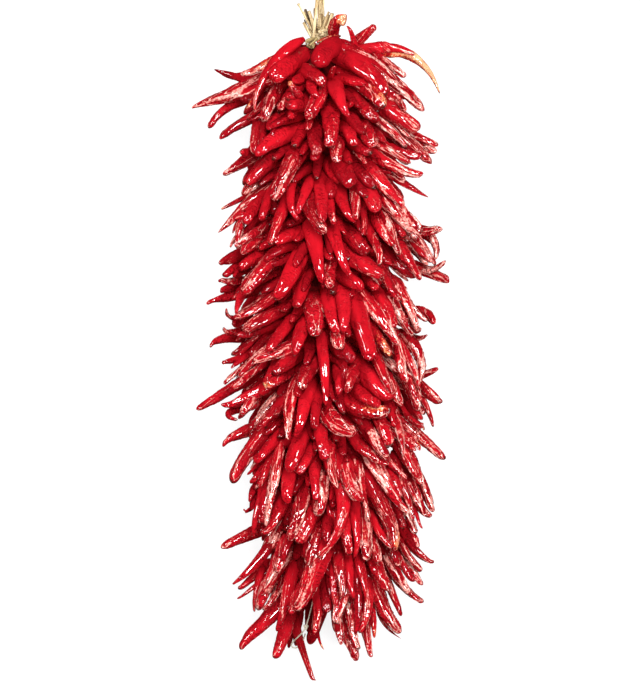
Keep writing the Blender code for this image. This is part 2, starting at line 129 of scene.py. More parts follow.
# The chillies that show, in millimetres: (across, down) of the stem end, of the middle and of the
# tip, then the width, the finish with the kind of end, and how far it is lifted over the others.
SHOWN_PODS = (
    (-28, 2, -73, 42, -99, 98, 13, "Cp", 4), (-56, 38, -110, 50, -147, 36, 16, "Dt", -6),
    (-38, 5, -69, 30, -112, 50, 19, "Fp", -6), (-60, 46, -118, 71, -182, 88, 24, "Pt", -4),
    (-66, 66, -92, 76, -114, 82, 16, "Db", -34), (-94, 71, -134, 92, -157, 119, 17, "Cb", -10),
    (-68, 90, -106, 109, -144, 131, 20, "Cb", -4), (-80, 60, -93, 80, -104, 97, 9, "Tp", 0),
    (-84, 100, -91, 125, -96, 157, 15, "Cb", -14), (-76, 95, -82, 120, -86, 150, 12, "Dp", -18),
    (-26, 17, -50, 38, -72, 59, 23, "Cr", 15), (-40, 44, -18, 50, 1, 66, 18, "Cb", 8),
    (19, 9, 1, 20, -10, 42, 25, "Mr", 14), (21, -5, 3, 0, -15, 10, 4, "Fp", 8),
    (12, 8, 13, -21, 29, -26, 13, "Hf", -4), (42, 24, 38, 2, 31, -17, 9, "Cp", 14),
    (28, 20, 48, -2, 69, -18, 16, "Cb", 2), (20, 22, 74, 10, 121, 19, 18, "Sp", 0),
    (70, 16, 122, 24, 155, 72, 15, "Lt", -14), (60, 12, 86, 34, 108, 52, 14, "Pb", -6),
    (6, 5, 69, 42, 133, 97, 23, "Wb", 9), (60, 40, 88, 68, 106, 99, 16, "Pb", -8),
    (6, 20, 46, 38, 84, 76, 24, "Sb", 6), (10, 42, 48, 62, 80, 95, 24, "Tb", 10),
    (30, 34, 64, 56, 100, 84, 20, "Cb", -14), (28, 60, 46, 88, 68, 113, 22, "Cb", 2),
    (60, 78, 95, 102, 126, 124, 24, "Sb", 2), (-12, 55, -10, 80, -24, 112, 22, "Wb", 8),
    (12, 52, 18, 80, 30, 109, 21, "Sp", 6), (2, 62, 8, 50, 12, 39, 10, "Cp", 6),
    (-18, 98, -35, 80, -48, 61, 13, "Tb", 6), (-30, 56, -36, 68, -48, 85, 24, "Db", -6),
    (-55, 58, -70, 82, -84, 114, 20, "Wb", 4), (-45, 70, -52, 84, -62, 99, 17, "Cb", 0),
    (-58, 95, -65, 112, -72, 130, 15, "Dp", -14), (-38, 80, -42, 95, -45, 111, 14, "Db", -10),
    (-22, 118, -58, 131, -93, 159, 24, "Sb", 12), (-28, 138, -47, 172, -70, 219, 24, "Wb", 8),
    (-56, 150, -80, 172, -105, 198, 20, "Cb", -6), (-78, 146, -110, 165, -136, 184, 16, "Pp", -10),
    (-85, 143, -102, 153, -113, 150, 12, "Db", -16), (-82, 163, -96, 182, -106, 200, 14, "Db", -16),
    (-50, 170, -101, 220, -143, 262, 18, "Pt", 4), (-12, 112, -14, 135, -9, 160, 21, "Cb", 4),
    (-18, 105, -21, 115, -22, 126, 11, "Cb", 2), (6, 88, 8, 118, 7, 150, 22, "Wb", 10),
    (16, 130, 15, 150, 15, 170, 21, "Cb", 4), (22, 105, 32, 126, 38, 148, 19, "Sb", 4),
    (45, 112, 55, 130, 66, 148, 22, "Wb", 2), (58, 112, 100, 130, 143, 168, 25, "Wb", 4),
    (98, 122, 124, 137, 150, 153, 15, "Pb", -8), (70, 100, 115, 126, 153, 142, 16, "Wb", -4),
    (62, 138, 95, 150, 130, 161, 20, "Db", -4), (45, 142, 88, 169, 130, 187, 17, "Wp", 4),
    (60, 161, 104, 192, 139, 213, 15, "Pt", -6), (40, 154, 70, 190, 108, 224, 20, "Cp", 2),
    (30, 135, 42, 152, 56, 172, 18, "Cp", 0), (12, 160, 24, 180, 38, 201, 24, "Db", 4),
    (-80, 195, -115, 216, -140, 228, 8, "Tp", -14), (-60, 190, -76, 218, -85, 246, 18, "Sb", 2),
    (-85, 205, -96, 228, -108, 250, 18, "Db", -8), (-98, 222, -112, 248, -118, 281, 14, "Pp", -6),
    (-105, 230, -117, 246, -124, 262, 9, "Dp", -14),
    (-108, 255, -120, 268, -128, 280, 9, "Pp", -14), (-48, 200, -60, 240, -76, 278, 18, "Cb", 6),
    (-36, 170, -46, 208, -40, 246, 15, "Sp", 4), (-14, 178, -26, 208, -38, 237, 14, "Sp", 4),
    (-24, 258, -45, 264, -68, 276, 18, "Sb", 8), (-68, 258, -92, 272, -115, 288, 20, "Wb", 2),
    (-72, 246, -92, 260, -116, 276, 16, "Wb", -4), (-80, 235, -98, 250, -114, 268, 18, "Db", -12),
    (-90, 280, -120, 292, -143, 303, 17, "Cp", -6), (-48, 275, -80, 308, -112, 343, 28, "Wb", 12),
    (-70, 280, -95, 296, -116, 308, 18, "Db", -8), (-105, 298, -122, 308, -136, 320, 14, "Db", -14),
    (-100, 322, -125, 326, -143, 323, 10, "Pp", -12),
    (-95, 335, -130, 346, -161, 353, 16, "Cp", -12),
    (-115, 330, -130, 335, -142, 339, 12, "Db", -16),
    (-108, 335, -115, 352, -121, 371, 13, "Cp", -6), (-52, 330, -85, 358, -122, 377, 19, "Wp", 6),
    (-100, 374, -126, 375, -132, 362, 8, "Cp", -10),
    (-100, 370, -113, 378, -124, 386, 14, "Db", -14), (-38, 355, -72, 372, -110, 390, 21, "Cb", 6),
    (-100, 388, -122, 395, -139, 391, 11, "Pp", -10), (-28, 310, -32, 338, -38, 363, 24, "Sb", 6),
    (-26, 275, -43, 312, -66, 352, 22, "Sb", 8), (-24, 240, -12, 285, -7, 330, 21, "Sp", 6),
    (-24, 195, -18, 230, 2, 263, 22, "Cb", 8), (-8, 180, -5, 215, -3, 251, 18, "Cb", 6),
    (8, 190, 6, 220, 12, 252, 15, "Cb", 2), (16, 190, 22, 218, 36, 250, 18, "Sp", 4),
    (38, 190, 40, 215, 43, 246, 15, "Wb", 6), (45, 175, 58, 208, 70, 233, 24, "Sb", 6),
    (48, 215, 52, 242, 52, 267, 11, "Cp", 6), (52, 232, 66, 272, 77, 304, 16, "Cp", 8),
    (18, 245, 36, 268, 58, 290, 22, "Db", -6), (4, 240, 16, 280, 31, 322, 17, "Cp", 8),
    (14, 278, 46, 300, 77, 322, 27, "Sb", 10), (2, 270, 4, 283, 6, 298, 15, "Db", 0),
    (5, 290, 6, 312, 6, 337, 18, "Wb", 4), (14, 310, 32, 325, 53, 333, 21, "Sb", 2),
    (48, 315, 58, 326, 70, 338, 15, "Db", -2), (62, 280, 80, 318, 96, 356, 18, "Cp", 6),
    (58, 198, 95, 232, 128, 262, 23, "Pb", 8), (70, 218, 98, 240, 125, 268, 16, "Pb", 2),
    (66, 215, 84, 250, 97, 292, 17, "Pp", 6), (60, 232, 74, 255, 91, 280, 18, "Cb", 2),
    (76, 222, 92, 245, 106, 268, 17, "Db", -6), (105, 255, 135, 258, 158, 253, 14, "Pb", -8),
    (114, 252, 145, 268, 149, 297, 18, "Pp", -10), (98, 260, 120, 278, 141, 300, 20, "Wp", -12),
    (105, 250, 128, 272, 150, 304, 13, "Pp", -6), (105, 305, 138, 310, 164, 299, 11, "Pb", -12),
    (84, 248, 104, 288, 131, 322, 19, "Wp", 6), (110, 300, 145, 315, 171, 326, 14, "Pb", -10),
    (70, 275, 98, 300, 124, 320, 22, "Db", -6), (2, 325, 6, 360, 14, 398, 18, "Cb", 6),
    (20, 318, 24, 355, 26, 396, 21, "Sb", 8), (12, 380, 17, 398, 16, 418, 20, "Wb", 4),
    (34, 340, 48, 385, 62, 432, 25, "Sb", 6), (36, 335, 68, 368, 97, 412, 19, "Wp", 10),
    (50, 370, 68, 398, 88, 427, 19, "Tb", 6), (54, 395, 72, 438, 90, 478, 18, "Cp", 8),
    (62, 330, 80, 358, 92, 390, 18, "Db", -2), (82, 325, 96, 365, 118, 400, 18, "Pp", 4),
    (88, 320, 106, 352, 128, 393, 24, "Wb", 2), (88, 318, 109, 352, 136, 382, 13, "Pp", -6),
    (118, 364, 139, 371, 145, 384, 12, "Pb", -10), (92, 364, 110, 382, 127, 395, 17, "Wb", -12),
    (88, 335, 103, 357, 114, 382, 15, "Db", -16), (100, 392, 120, 402, 138, 399, 11, "Dp", -12),
    (96, 394, 123, 419, 131, 462, 17, "Pp", -8), (118, 458, 138, 450, 153, 443, 10, "Cb", -12),
    (92, 400, 112, 432, 128, 470, 18, "Cp", 2), (88, 392, 98, 425, 106, 462, 18, "Pb", 6),
    (104, 440, 118, 458, 128, 486, 14, "Pp", 0), (-8, 385, -2, 430, 1, 492, 14, "Sp", 8),
    (8, 400, 22, 418, 40, 431, 21, "Db", 2), (44, 430, 37, 450, 28, 476, 16, "Cb", 6),
    (22, 432, 20, 452, 20, 477, 21, "Sb", 4), (-14, 345, -14, 372, -13, 401, 26, "Wb", 8),
    (-20, 398, -55, 419, -98, 429, 18, "Wp", 8), (-38, 372, -58, 395, -78, 420, 23, "Sb", 4),
    (-20, 368, -32, 395, -42, 426, 21, "Sb", 6), (-55, 378, -85, 391, -118, 400, 18, "Db", -6),
    (-100, 398, -132, 402, -158, 411, 15, "Cp", -8),
    (-80, 414, -112, 429, -139, 434, 13, "Dp", -12), (-95, 420, -112, 432, -127, 442, 9, "Dp", -14),
    (-80, 420, -110, 442, -137, 463, 14, "Pp", -4), (-72, 425, -98, 448, -124, 470, 18, "Wb", 0),
    (-56, 425, -68, 445, -80, 463, 18, "Cb", 4), (-40, 440, -60, 456, -82, 466, 14, "Tb", 8),
    (-28, 415, -48, 432, -70, 450, 18, "Db", 2), (-12, 425, -22, 445, -34, 470, 21, "Cb", 6),
    (-84, 447, -129, 472, -173, 500, 19, "Cp", -4), (-50, 462, -96, 480, -136, 499, 23, "Cp", 4),
    (-98, 496, -129, 503, -118, 514, 9, "Dp", -12), (-84, 474, -98, 488, -113, 504, 17, "Wb", -8),
    (-72, 514, -108, 529, -141, 542, 19, "Cp", -8), (-38, 475, -65, 498, -92, 525, 19, "Cp", 6),
    (-50, 500, -92, 543, -128, 596, 24, "Cb", 6), (-62, 545, -84, 566, -104, 586, 8, "Dp", -14),
    (-30, 445, -47, 490, -47, 538, 16, "Pp", 12), (-16, 450, -27, 490, -37, 535, 20, "Sp", 8),
    (-14, 480, 10, 512, 41, 528, 24, "Wb", 12), (-10, 500, -6, 530, 2, 565, 18, "Db", -2),
    (2, 520, 6, 562, 13, 604, 20, "Wp", 8), (-22, 518, -36, 548, -50, 580, 23, "Sb", 6),
    (-10, 530, -22, 556, -36, 584, 18, "Sb", 2), (-58, 540, -70, 600, -80, 653, 16, "Pp", 10),
    (-76, 560, -86, 610, -98, 668, 22, "Sb", 2), (-68, 655, -102, 668, -141, 685, 18, "Cb", -4),
    (-77, 568, -88, 582, -99, 598, 12, "Db", -12), (-82, 590, -94, 604, -102, 621, 11, "Dp", -12),
    (-88, 610, -98, 630, -110, 635, 7, "Dp", -14), (-86, 590, -94, 612, -98, 634, 13, "Dp", -10),
    (-48, 600, -62, 635, -80, 668, 21, "Cp", 10), (-44, 565, -49, 592, -53, 623, 20, "Sb", 4),
    (-22, 585, -32, 630, -49, 672, 20, "Wb", 6), (-14, 615, -22, 645, -35, 677, 20, "Cb", 6),
    (-4, 575, -6, 605, -7, 640, 22, "Pb", 8), (14, 585, 23, 640, -8, 698, 17, "Cp", 10),
    (-2, 640, -12, 665, -22, 706, 19, "Wb", 4), (6, 635, 3, 655, 2, 677, 15, "Db", 2),
    (2, 665, -12, 708, -37, 768, 27, "Wb", 8), (-50, 665, -58, 690, -66, 717, 20, "Wb", 2),
    (-58, 690, -72, 728, -93, 768, 24, "Wb", 6), (-54, 648, -86, 698, -125, 735, 16, "Ct", 0),
    (-70, 705, -95, 724, -116, 743, 14, "Cb", -6), (-70, 718, -95, 738, -118, 756, 10, "Dp", -10),
    (-84, 710, -92, 740, -97, 772, 10, "Cp", -4), (-52, 745, -80, 785, -120, 816, 30, "Cp", -4),
    (-58, 715, -66, 742, -80, 770, 17, "Pp", 2), (-40, 700, -50, 745, -64, 797, 17, "Cp", 6),
    (-47, 765, -32, 824, -12, 880, 12, "Cp", -100), (-45, 770, -56, 805, -68, 836, 20, "Cb", -4),
    (-42, 770, -46, 800, -50, 828, 12, "Dp", -112), (-36, 768, -38, 798, -42, 825, 12, "Cp", -126),
    (-17, 730, -18, 770, -24, 808, 20, "Dp", -130), (-4, 735, -8, 780, -23, 819, 20, "Sb", -99),
    (-12, 730, -9, 766, -16, 800, 18, "Cb", 2), (-12, 785, -8, 808, -1, 821, 4, "Tt", -10),
    (4, 700, 2, 735, 3, 771, 20, "Db", -6), (14, 690, 11, 725, 14, 761, 12, "Cp", 0),
    (24, 700, 24, 742, 11, 784, 20, "Pp", 6), (30, 730, 34, 775, 42, 821, 16, "Pp", 4),
    (20, 760, 31, 800, 44, 836, 18, "Wb", 0), (14, 765, 18, 790, 23, 814, 12, "Pb", -4),
    (38, 680, 44, 745, 43, 800, 14, "Dp", 2), (52, 715, 57, 760, 46, 798, 14, "Cp", 2),
    (50, 765, 56, 798, 60, 832, 14, "Cp", -2), (60, 750, 65, 778, 65, 805, 10, "Tp", -4),
    (56, 700, 76, 760, 103, 800, 22, "Wb", 2), (70, 770, 83, 793, 103, 807, 5, "Dt", -10),
    (74, 705, 90, 745, 104, 776, 13, "Cp", -4), (78, 697, 104, 736, 133, 760, 18, "Wp", -6),
    (92, 680, 114, 710, 130, 737, 17, "Pb", -2), (84, 672, 102, 704, 118, 732, 16, "Cb", -14),
    (96, 670, 113, 697, 131, 716, 12, "Cb", -8), (96, 655, 123, 690, 147, 706, 16, "Cp", -8),
    (100, 645, 115, 663, 128, 683, 12, "Cp", -8), (112, 610, 122, 636, 128, 659, 9, "Dp", -10),
    (118, 610, 130, 632, 144, 643, 12, "Cb", -10), (112, 570, 133, 605, 143, 637, 18, "Pp", -6),
    (98, 606, 111, 638, 121, 666, 16, "Wb", -10), (84, 606, 96, 632, 106, 658, 14, "Db", -16),
    (100, 470, 118, 488, 134, 506, 13, "Pb", -14), (104, 268, 122, 284, 136, 303, 14, "Pb", -18),
    (-92, 300, -108, 310, -124, 320, 13, "Db", -16), (100, 570, 118, 605, 135, 642, 20, "Wp", 0),
    (96, 545, 116, 572, 128, 600, 21, "Wb", 0), (90, 534, 108, 562, 126, 590, 18, "Cb", -2),
    (92, 555, 104, 600, 121, 645, 16, "Cp", 4), (48, 548, 78, 590, 106, 640, 20, "Pp", 8),
    (50, 575, 78, 628, 98, 686, 26, "Tb", 8), (32, 530, 55, 552, 84, 572, 20, "Wb", 4),
    (45, 505, 62, 532, 84, 564, 23, "Cb", 6), (60, 490, 74, 515, 87, 546, 21, "Cb", 4),
    (8, 465, 44, 494, 88, 501, 22, "Tb", 12), (26, 455, 48, 478, 74, 492, 20, "Db", 2),
    (42, 430, 62, 458, 87, 486, 25, "Sb", 4), (62, 430, 84, 458, 102, 494, 20, "Wb", -12),
    (92, 425, 112, 462, 124, 500, 24, "Wp", 2), (108, 450, 135, 473, 157, 491, 15, "Cb", -8),
    (116, 460, 134, 490, 147, 522, 11, "Cp", -10), (102, 474, 117, 496, 131, 512, 13, "Db", -8),
    (78, 560, 92, 588, 102, 616, 16, "Db", -18), (70, 470, 84, 496, 94, 522, 16, "Db", -18),
    (-62, 610, -76, 640, -86, 668, 16, "Db", -16), (92, 470, 116, 510, 134, 521, 15, "Tp", -4),
    (84, 498, 121, 529, 161, 567, 17, "Wb", 0), (84, 516, 106, 533, 131, 549, 15, "Tp", -6),
    (86, 485, 98, 520, 104, 560, 16, "Pp", 4), (26, 560, 30, 590, 47, 621, 21, "Wb", 8),
    (38, 560, 47, 592, 58, 648, 13, "Pp", 8), (34, 600, 40, 640, 45, 695, 16, "Sp", 4),
    (22, 620, 26, 655, 34, 692, 19, "Cb", 6), (50, 625, 54, 662, 57, 700, 20, "Pb", 10),
    (58, 660, 66, 684, 73, 702, 17, "Wb", 4), (58, 630, 72, 660, 89, 684, 16, "Cp", 4),
    (58, 685, 70, 712, 84, 742, 20, "Pb", 4), (74, 680, 94, 716, 114, 746, 15, "Pp", -2),
    (78, 665, 88, 685, 100, 708, 18, "Db", -4), (16, 680, 20, 712, 26, 749, 15, "Cp", 4),
    (28, 680, 32, 715, 36, 752, 14, "Sp", 2), (40, 680, 50, 720, 60, 766, 12, "Cp", 6),
    (-30, 715, -38, 745, -46, 773, 16, "Cb", 0), (-66, 575, -78, 612, -86, 651, 17, "Cb", 4),
    (-52, 515, -72, 545, -95, 568, 20, "Db", -2), (-60, 540, -74, 570, -90, 600, 15, "Cp", 2),
    (-36, 650, -48, 672, -60, 700, 18, "Db", -2), (-8, 455, -12, 490, -16, 525, 16, "Db", 0),
    (-14, 545, -14, 580, -12, 620, 17, "Sb", 4),
)

# A chilli's middle line has POD_NODES points, of which the first FREE_NODES may run into others.
# A chilli that shows is SWELL times as wide as the table says, since others cover its sides.
POD_LENGTH = 0.118
POD_NODES = 10
FREE_NODES = 2
SWELL = 1.16
# Below TOPMOST, each of them is steep enough to climb at least LEAST_CLIMB from stem end to tip.
# Its stem end lies about FOOT_RISE or more in front of the string's middle, never lower than
# FOOT_HEIGHT, and never more than MOST_DIP above its tip or MOST_LIFT above the place that its full
# length would reach.
TOPMOST = 0.05
LEAST_CLIMB = 0.024
FOOT_RISE = 0.012
FOOT_HEIGHT = 0.036
MOST_DIP = 0.012
MOST_LIFT = 0.05
# Filling chillies start this far from the string's middle, to the side and to the front, and leave
# this much room round the loose thread.
START_ASIDE = 0.022
START_FORWARD = 0.020
THREAD_ROOM = 0.004
# Settling: how near two chillies are before they are looked at together, the share of an overlap
# that moves each of them in one round and the most that it may move them, how much more they move
# up and down than aside, and how strongly those that show and the others are drawn back to their
# places.
NEAR = 0.032
PUSH_SHARE = 0.30
MOST_MOVE = 0.0025
UPRIGHT = np.array([1.0, 1.0, 2.6])
SHOWN_PULL = (0.45, 0.45, 0.02)
HIDDEN_PULL = (0.08, 0.08, 0.05)
# How finely the chillies are meshed, and how much of that goes to the side that faces out.
RINGS, SIDES = 44, 24
BACK_RINGS, BACK_SIDES = 26, 14
SHOWN_SIDE_SHARE = 0.4
# How far the topmost chillies may reach past the bundle's solid beside the tie.
HEAD_ROOM = 0.005
# The empty rim of each chilli's cell in the map, as a share of the cell.
CELL_MARGIN = 0.03
# The dark heart of the bundle, its stems and string coloured near black as painted shade deep
# between the chillies: where it starts, its length and radius, how much wider than deep it is, and
# how finely it is meshed.
CORE_TOP = 0.006
CORE_LENGTH = 0.706
CORE_RADIUS = 0.043
CORE_SPREAD = 1.35
CORE_RINGS, CORE_SIDES = 40, 32


def station(stations, down):
    """The value at a distance down the string, for a number or an array."""
    places, values = zip(*stations)
    return np.interp(down, places, values)


def on_model(places):
    """Places (across, down, height) as points in the model's own frame."""
    places = np.asarray(places, dtype=float)
    return np.stack([TOP_X + places[..., 0], TOP_Y - places[..., 1], places[..., 2]], axis=-1)


def unit(vectors):
    return vectors / np.maximum(np.linalg.norm(vectors, axis=-1, keepdims=True), 1e-9)


# ---------------------------------------------------------------- shader wrapper


class Value:
    """A shader value. Arithmetic on it adds Math nodes."""

    def __init__(self, shader, socket):
        self.shader = shader
        self.socket = socket

    def _math(self, operation, first, second=0.0):
        return self.shader.node("ShaderNodeMath", {"operation": operation}, {0: first, 1: second})

    def __add__(self, other):
        return self._math("ADD", self, other)

    def __sub__(self, other):
        return self._math("SUBTRACT", self, other)

    def __rsub__(self, other):
        return self._math("SUBTRACT", other, self)

    def __mul__(self, other):
        return self._math("MULTIPLY", self, other)

    def __truediv__(self, other):
        return self._math("DIVIDE", self, other)

    __radd__ = __add__
    __rmul__ = __mul__

    def least(self, other):
        return self._math("MINIMUM", self, other)

    def size(self):
        return self._math("ABSOLUTE", self)

    def between(self, low, high):
        """0 below low, 1 above high, and smooth between."""
        settings = {"interpolation_type": "SMOOTHSTEP"}
        return self.shader.node("ShaderNodeMapRange", settings, {0: self, 1: low, 2: high})


class Shader:
    """A material made one node at a time."""

    def __init__(self, name):
        self.material = bpy.data.materials.new(name)
        self.material.use_nodes = True
        self.nodes = self.material.node_tree.nodes
        self.links = self.material.node_tree.links
        self.surface = self.nodes["Principled BSDF"]

    def feed(self, socket, value):
        if isinstance(value, Value):
            self.links.new(value.socket, socket)
        elif isinstance(value, tuple) and socket.type == "RGBA":
            socket.default_value = (*value[:3], 1.0)
        else:
            socket.default_value = value

    def node(self, kind, settings=(), inputs=(), output=0):
        """A node of this kind: its settings first, then its sockets' values or links."""
        made = self.nodes.new(kind)
        for key, value in dict(settings).items():
            setattr(made, key, value)
        for key, value in dict(inputs).items():
            self.feed(made.inputs[key], value)
        return Value(self, made.outputs[output])

    def attribute(self, name, output="Fac"):
        return self.node("ShaderNodeAttribute", {"attribute_name": name}, output=output)

    def stretched(self, place, across, along):
        """A place with one scale across a chilli or a strand, and another along it."""
        settings = {"operation": "MULTIPLY"}
        return self.node("ShaderNodeVectorMath", settings, {0: place, 1: (across, across, along)})

    def noise(self, place, across, along, detail=3.0, rough=0.5, bend=0.0):
        inputs = {"Vector": self.stretched(place, across, along), "Scale": 1.0, "Detail": detail,
                  "Roughness": rough, "Distortion": bend}
        return self.node("ShaderNodeTexNoise", (), inputs, output="Fac")

    def pits(self, place, across, along):
        """Pits that meet in sharp ridges: the distance to the middle of each cell."""
        inputs = {"Vector": self.stretched(place, across, along), "Scale": 1.0}
        return self.node("ShaderNodeTexVoronoi", {"feature": "F1"}, inputs, output="Distance")

    def mix(self, share, first, second):
        """A colour between two others."""
        settings = {"data_type": "RGBA"}
        return self.node("ShaderNodeMix", settings, {0: share, 6: first, 7: second}, output=2)

    def bump(self, height, distance):
        inputs = {"Height": height, "Distance": distance, "Strength": 1.0}
        return self.node("ShaderNodeBump", (), inputs, output="Normal")

    def set(self, **values):
        """Feeds the surface's sockets, named with underscores for spaces."""
        for name, value in values.items():
            self.feed(self.surface.inputs[name.replace("_", " ")], value)


# ---------------------------------------------------------------- chilli shapes


def front_height(across, down):
    """How high the outer layer of chillies lies at a place on the shown side."""
    share = np.clip(abs(across - station(STRING_X, down)) / station(HALF_WIDTH, down), 0, 1)
    return AXIS_HEIGHT + station(FRONT_RISE, down) * math.sqrt(1 - 0.94 * share**2)


def shown_pods():
    """The chillies of the shown side, from their table. A chilli is its middle line, its width, its
    finish, its kind of end, and whether it shows."""
    pods = []
    share = np.linspace(0, 1, POD_NODES)[:, None]
    for *places, width, look, lift in SHOWN_PODS:
        stem, middle, tip = MM * np.array(places, dtype=float).reshape(3, 2)
        bend = 2 * middle - (stem + tip) / 2
        flat = (1 - share) ** 2 * stem + 2 * share * (1 - share) * bend + share**2 * tip
        reach = np.linalg.norm(np.diff(flat, axis=0), axis=1).sum()
        length = POD_LENGTH * chance.uniform(0.92, 1.10) * (0.85 if width < 13 else 1.0)
        radius = width * MM / 2
        high = front_height(*tip) - radius + lift * MM
        climb = math.sqrt(max(0.0, length**2 - reach**2))
        if stem[1] > TOPMOST:
            climb = max(climb, LEAST_CLIMB)
        low = max(high - climb, AXIS_HEIGHT + FOOT_RISE + 0.4 * lift * MM)
        low = max(min(low, high + MOST_DIP, high - climb + MOST_LIFT), FOOT_HEIGHT)
        height = low + (high - low) * (1 - (1 - share) ** 1.8)
        pods.append((np.hstack([flat, height]), SWELL * width * MM, look[0], look[1], True))
    return pods


def pod_line(stem, heading, length, droop):
    """A middle line that starts along a heading and droops towards the bottom end."""
    share = np.linspace(0, 1, POD_NODES)[:, None]
    line = stem + share * length * heading
    line[:, 1] += droop * share[:, 0] ** 2
    line[:, 2] -= 0.5 * droop * share[:, 0] ** 2
    return line


def hides_thread(line, radius):
    """Whether a chilli would lie over the loose thread."""
    apart = line[:, None] - np.array(TAIL_ROUTE)[None]
    close = np.hypot(apart[..., 0], apart[..., 1]) < radius + THREAD_ROOM
    return bool(np.any(close & (apart[..., 2] > -radius - THREAD_ROOM)))


def filling_pods(tiers, first_turn, last_turn, per_tier, reach, finishes, widths, top, foot):
    """Tiers of chillies between two turns round the string, kept within the dense middle."""
    pods = []
    for tier in range(tiers):
        for k in range(per_tier):
            down = top + (foot - top) * (tier + chance.uniform(0, 1)) / tiers
            share = (k + chance.uniform(0.1, 0.9)) / per_tier
            turn = math.radians(first_turn + (last_turn - first_turn) * share)
            lean = math.radians(station(LEAN_DEGREES, down) + chance.uniform(-9, 9))
            length = POD_LENGTH * chance.uniform(0.86, 1.14) * reach
            side = math.cos(turn)
            limit = station(DENSE_RIGHT if side > 0 else DENSE_LEFT, down + 0.07)
            limit = limit * (0.4 + 0.6 * reach) * chance.uniform(0.9, 1.05)
            most_lean = math.asin(min(1.0, limit / (length * abs(side) + 1e-6)))
            lean = min(lean, max(most_lean, math.radians(12)))
            stem = np.array([station(STRING_X, down) + START_ASIDE * side, down,
                             AXIS_HEIGHT + START_FORWARD * math.sin(turn)])
            heading = np.array([math.sin(lean) * side, math.cos(lean),
                                0.92 * math.sin(lean) * math.sin(turn)])
            width = chance.uniform(*widths)
            line = pod_line(stem, unit(heading), length, chance.uniform(0.0, 0.012))
            if not hides_thread(line, width / 2):
                finish = finishes[chance.integers(len(finishes))]
                end = "bbp"[chance.integers(3)]
                pods.append((line, width, finish, end, False))
    return pods


def near_pairs(points, owners, reach):
    """Pairs of points on different chillies that are nearer than a reach along every axis."""
    order = np.argsort(points[:, 1])
    level = points[order, 1]
    found = []
    for step in range(1, len(points)):
        near = np.flatnonzero(level[step:] - level[:-step] < reach)
        if not len(near):
            break
        first = order[near]
        second = order[near + step]
        apart = owners[first] != owners[second]
        apart &= np.abs(points[first] - points[second]).max(axis=1) < reach
        found.append(np.stack([first[apart], second[apart]]))
    return np.concatenate(found, axis=1)


def settle(homes, widths, shown, rounds=70):
    """Moves the chillies off each other, mostly up and down, and onto the floor."""
    count, nodes = homes.shape[:2]
    fat = widths[:, None] / 2 * np.interp(
        np.linspace(0, 1, nodes), (0, 0.25, 0.6, 1.0), (0.5, 0.95, 0.85, 0.35))
    pressing = fat.copy()
    pressing[:, :FREE_NODES] = 0
    owners = np.repeat(np.arange(count), nodes)
    radii = pressing.reshape(-1)
    lines = homes.copy()
    pull = np.where(shown[:, None, None], SHOWN_PULL, HIDDEN_PULL)
    for turn in range(rounds):
        points = lines.reshape(-1, 3)
        if turn % 5 == 0:
            first, second = near_pairs(points, owners, NEAR)
        gap = points[first] - points[second]
        distance = np.linalg.norm(gap, axis=1)
        overlap = radii[first] + radii[second] - distance
        live = (overlap > 0) & (radii[first] > 0) & (radii[second] > 0)
        push = unit(gap[live] * UPRIGHT) * (PUSH_SHARE * overlap[live])[:, None]
        moved = np.zeros_like(points)
        np.add.at(moved, first[live], push)
        np.add.at(moved, second[live], -push)
        lines = lines + np.clip(moved, -MOST_MOVE, MOST_MOVE).reshape(lines.shape)
        lines += (homes - lines) * pull
        drift = lines - homes
        drift[:, 1:-1] = 0.4 * drift[:, 1:-1] + 0.3 * (drift[:, :-2] + drift[:, 2:])
        lines = homes + drift
        lines[..., 2] = np.clip(lines[..., 2], 0.86 * fat, CEILING - 0.95 * fat)
    return lines


def smooth_lines(lines, rings):
    """The middle lines at evenly shared places, by a smooth curve through their points."""
    nodes = lines.shape[1]
    place = np.linspace(0, nodes - 1, rings)
    start = np.minimum(place.astype(int), nodes - 2)
    part = (place - start)[None, :, None]
    slopes = np.gradient(lines, axis=1)
    low = lines[:, start]
    high = lines[:, start + 1]
    rise = slopes[:, start]
    fall = slopes[:, start + 1]
    return ((1 + 2 * part) * (1 - part) ** 2 * low + part * (1 - part) ** 2 * rise
            + part**2 * (3 - 2 * part) * high + part**2 * (part - 1) * fall)


def wrapped(angle):
    return (angle + math.pi) % (2 * math.pi) - math.pi


def per_pod(count, low, high):
    """A random number for each chilli, shaped to act on all its rings and sides."""
    return chance.uniform(low, high, (count, 1, 1))


def wave(count, slowest, quickest, along, start=0.0):
    """A sine along each chilli, with a pace and a phase of its own."""
    return np.sin(start + per_pod(count, slowest, quickest) * along + per_pod(count, 0, 6))


def trait(finishes, name):
    """What a trait is for each chilli, by its finish, shaped to act on all its rings and sides."""
    k = FINISH_TRAITS.index(name)
    return np.array([FINISHES[finish][k] for finish in finishes])[:, None, None]


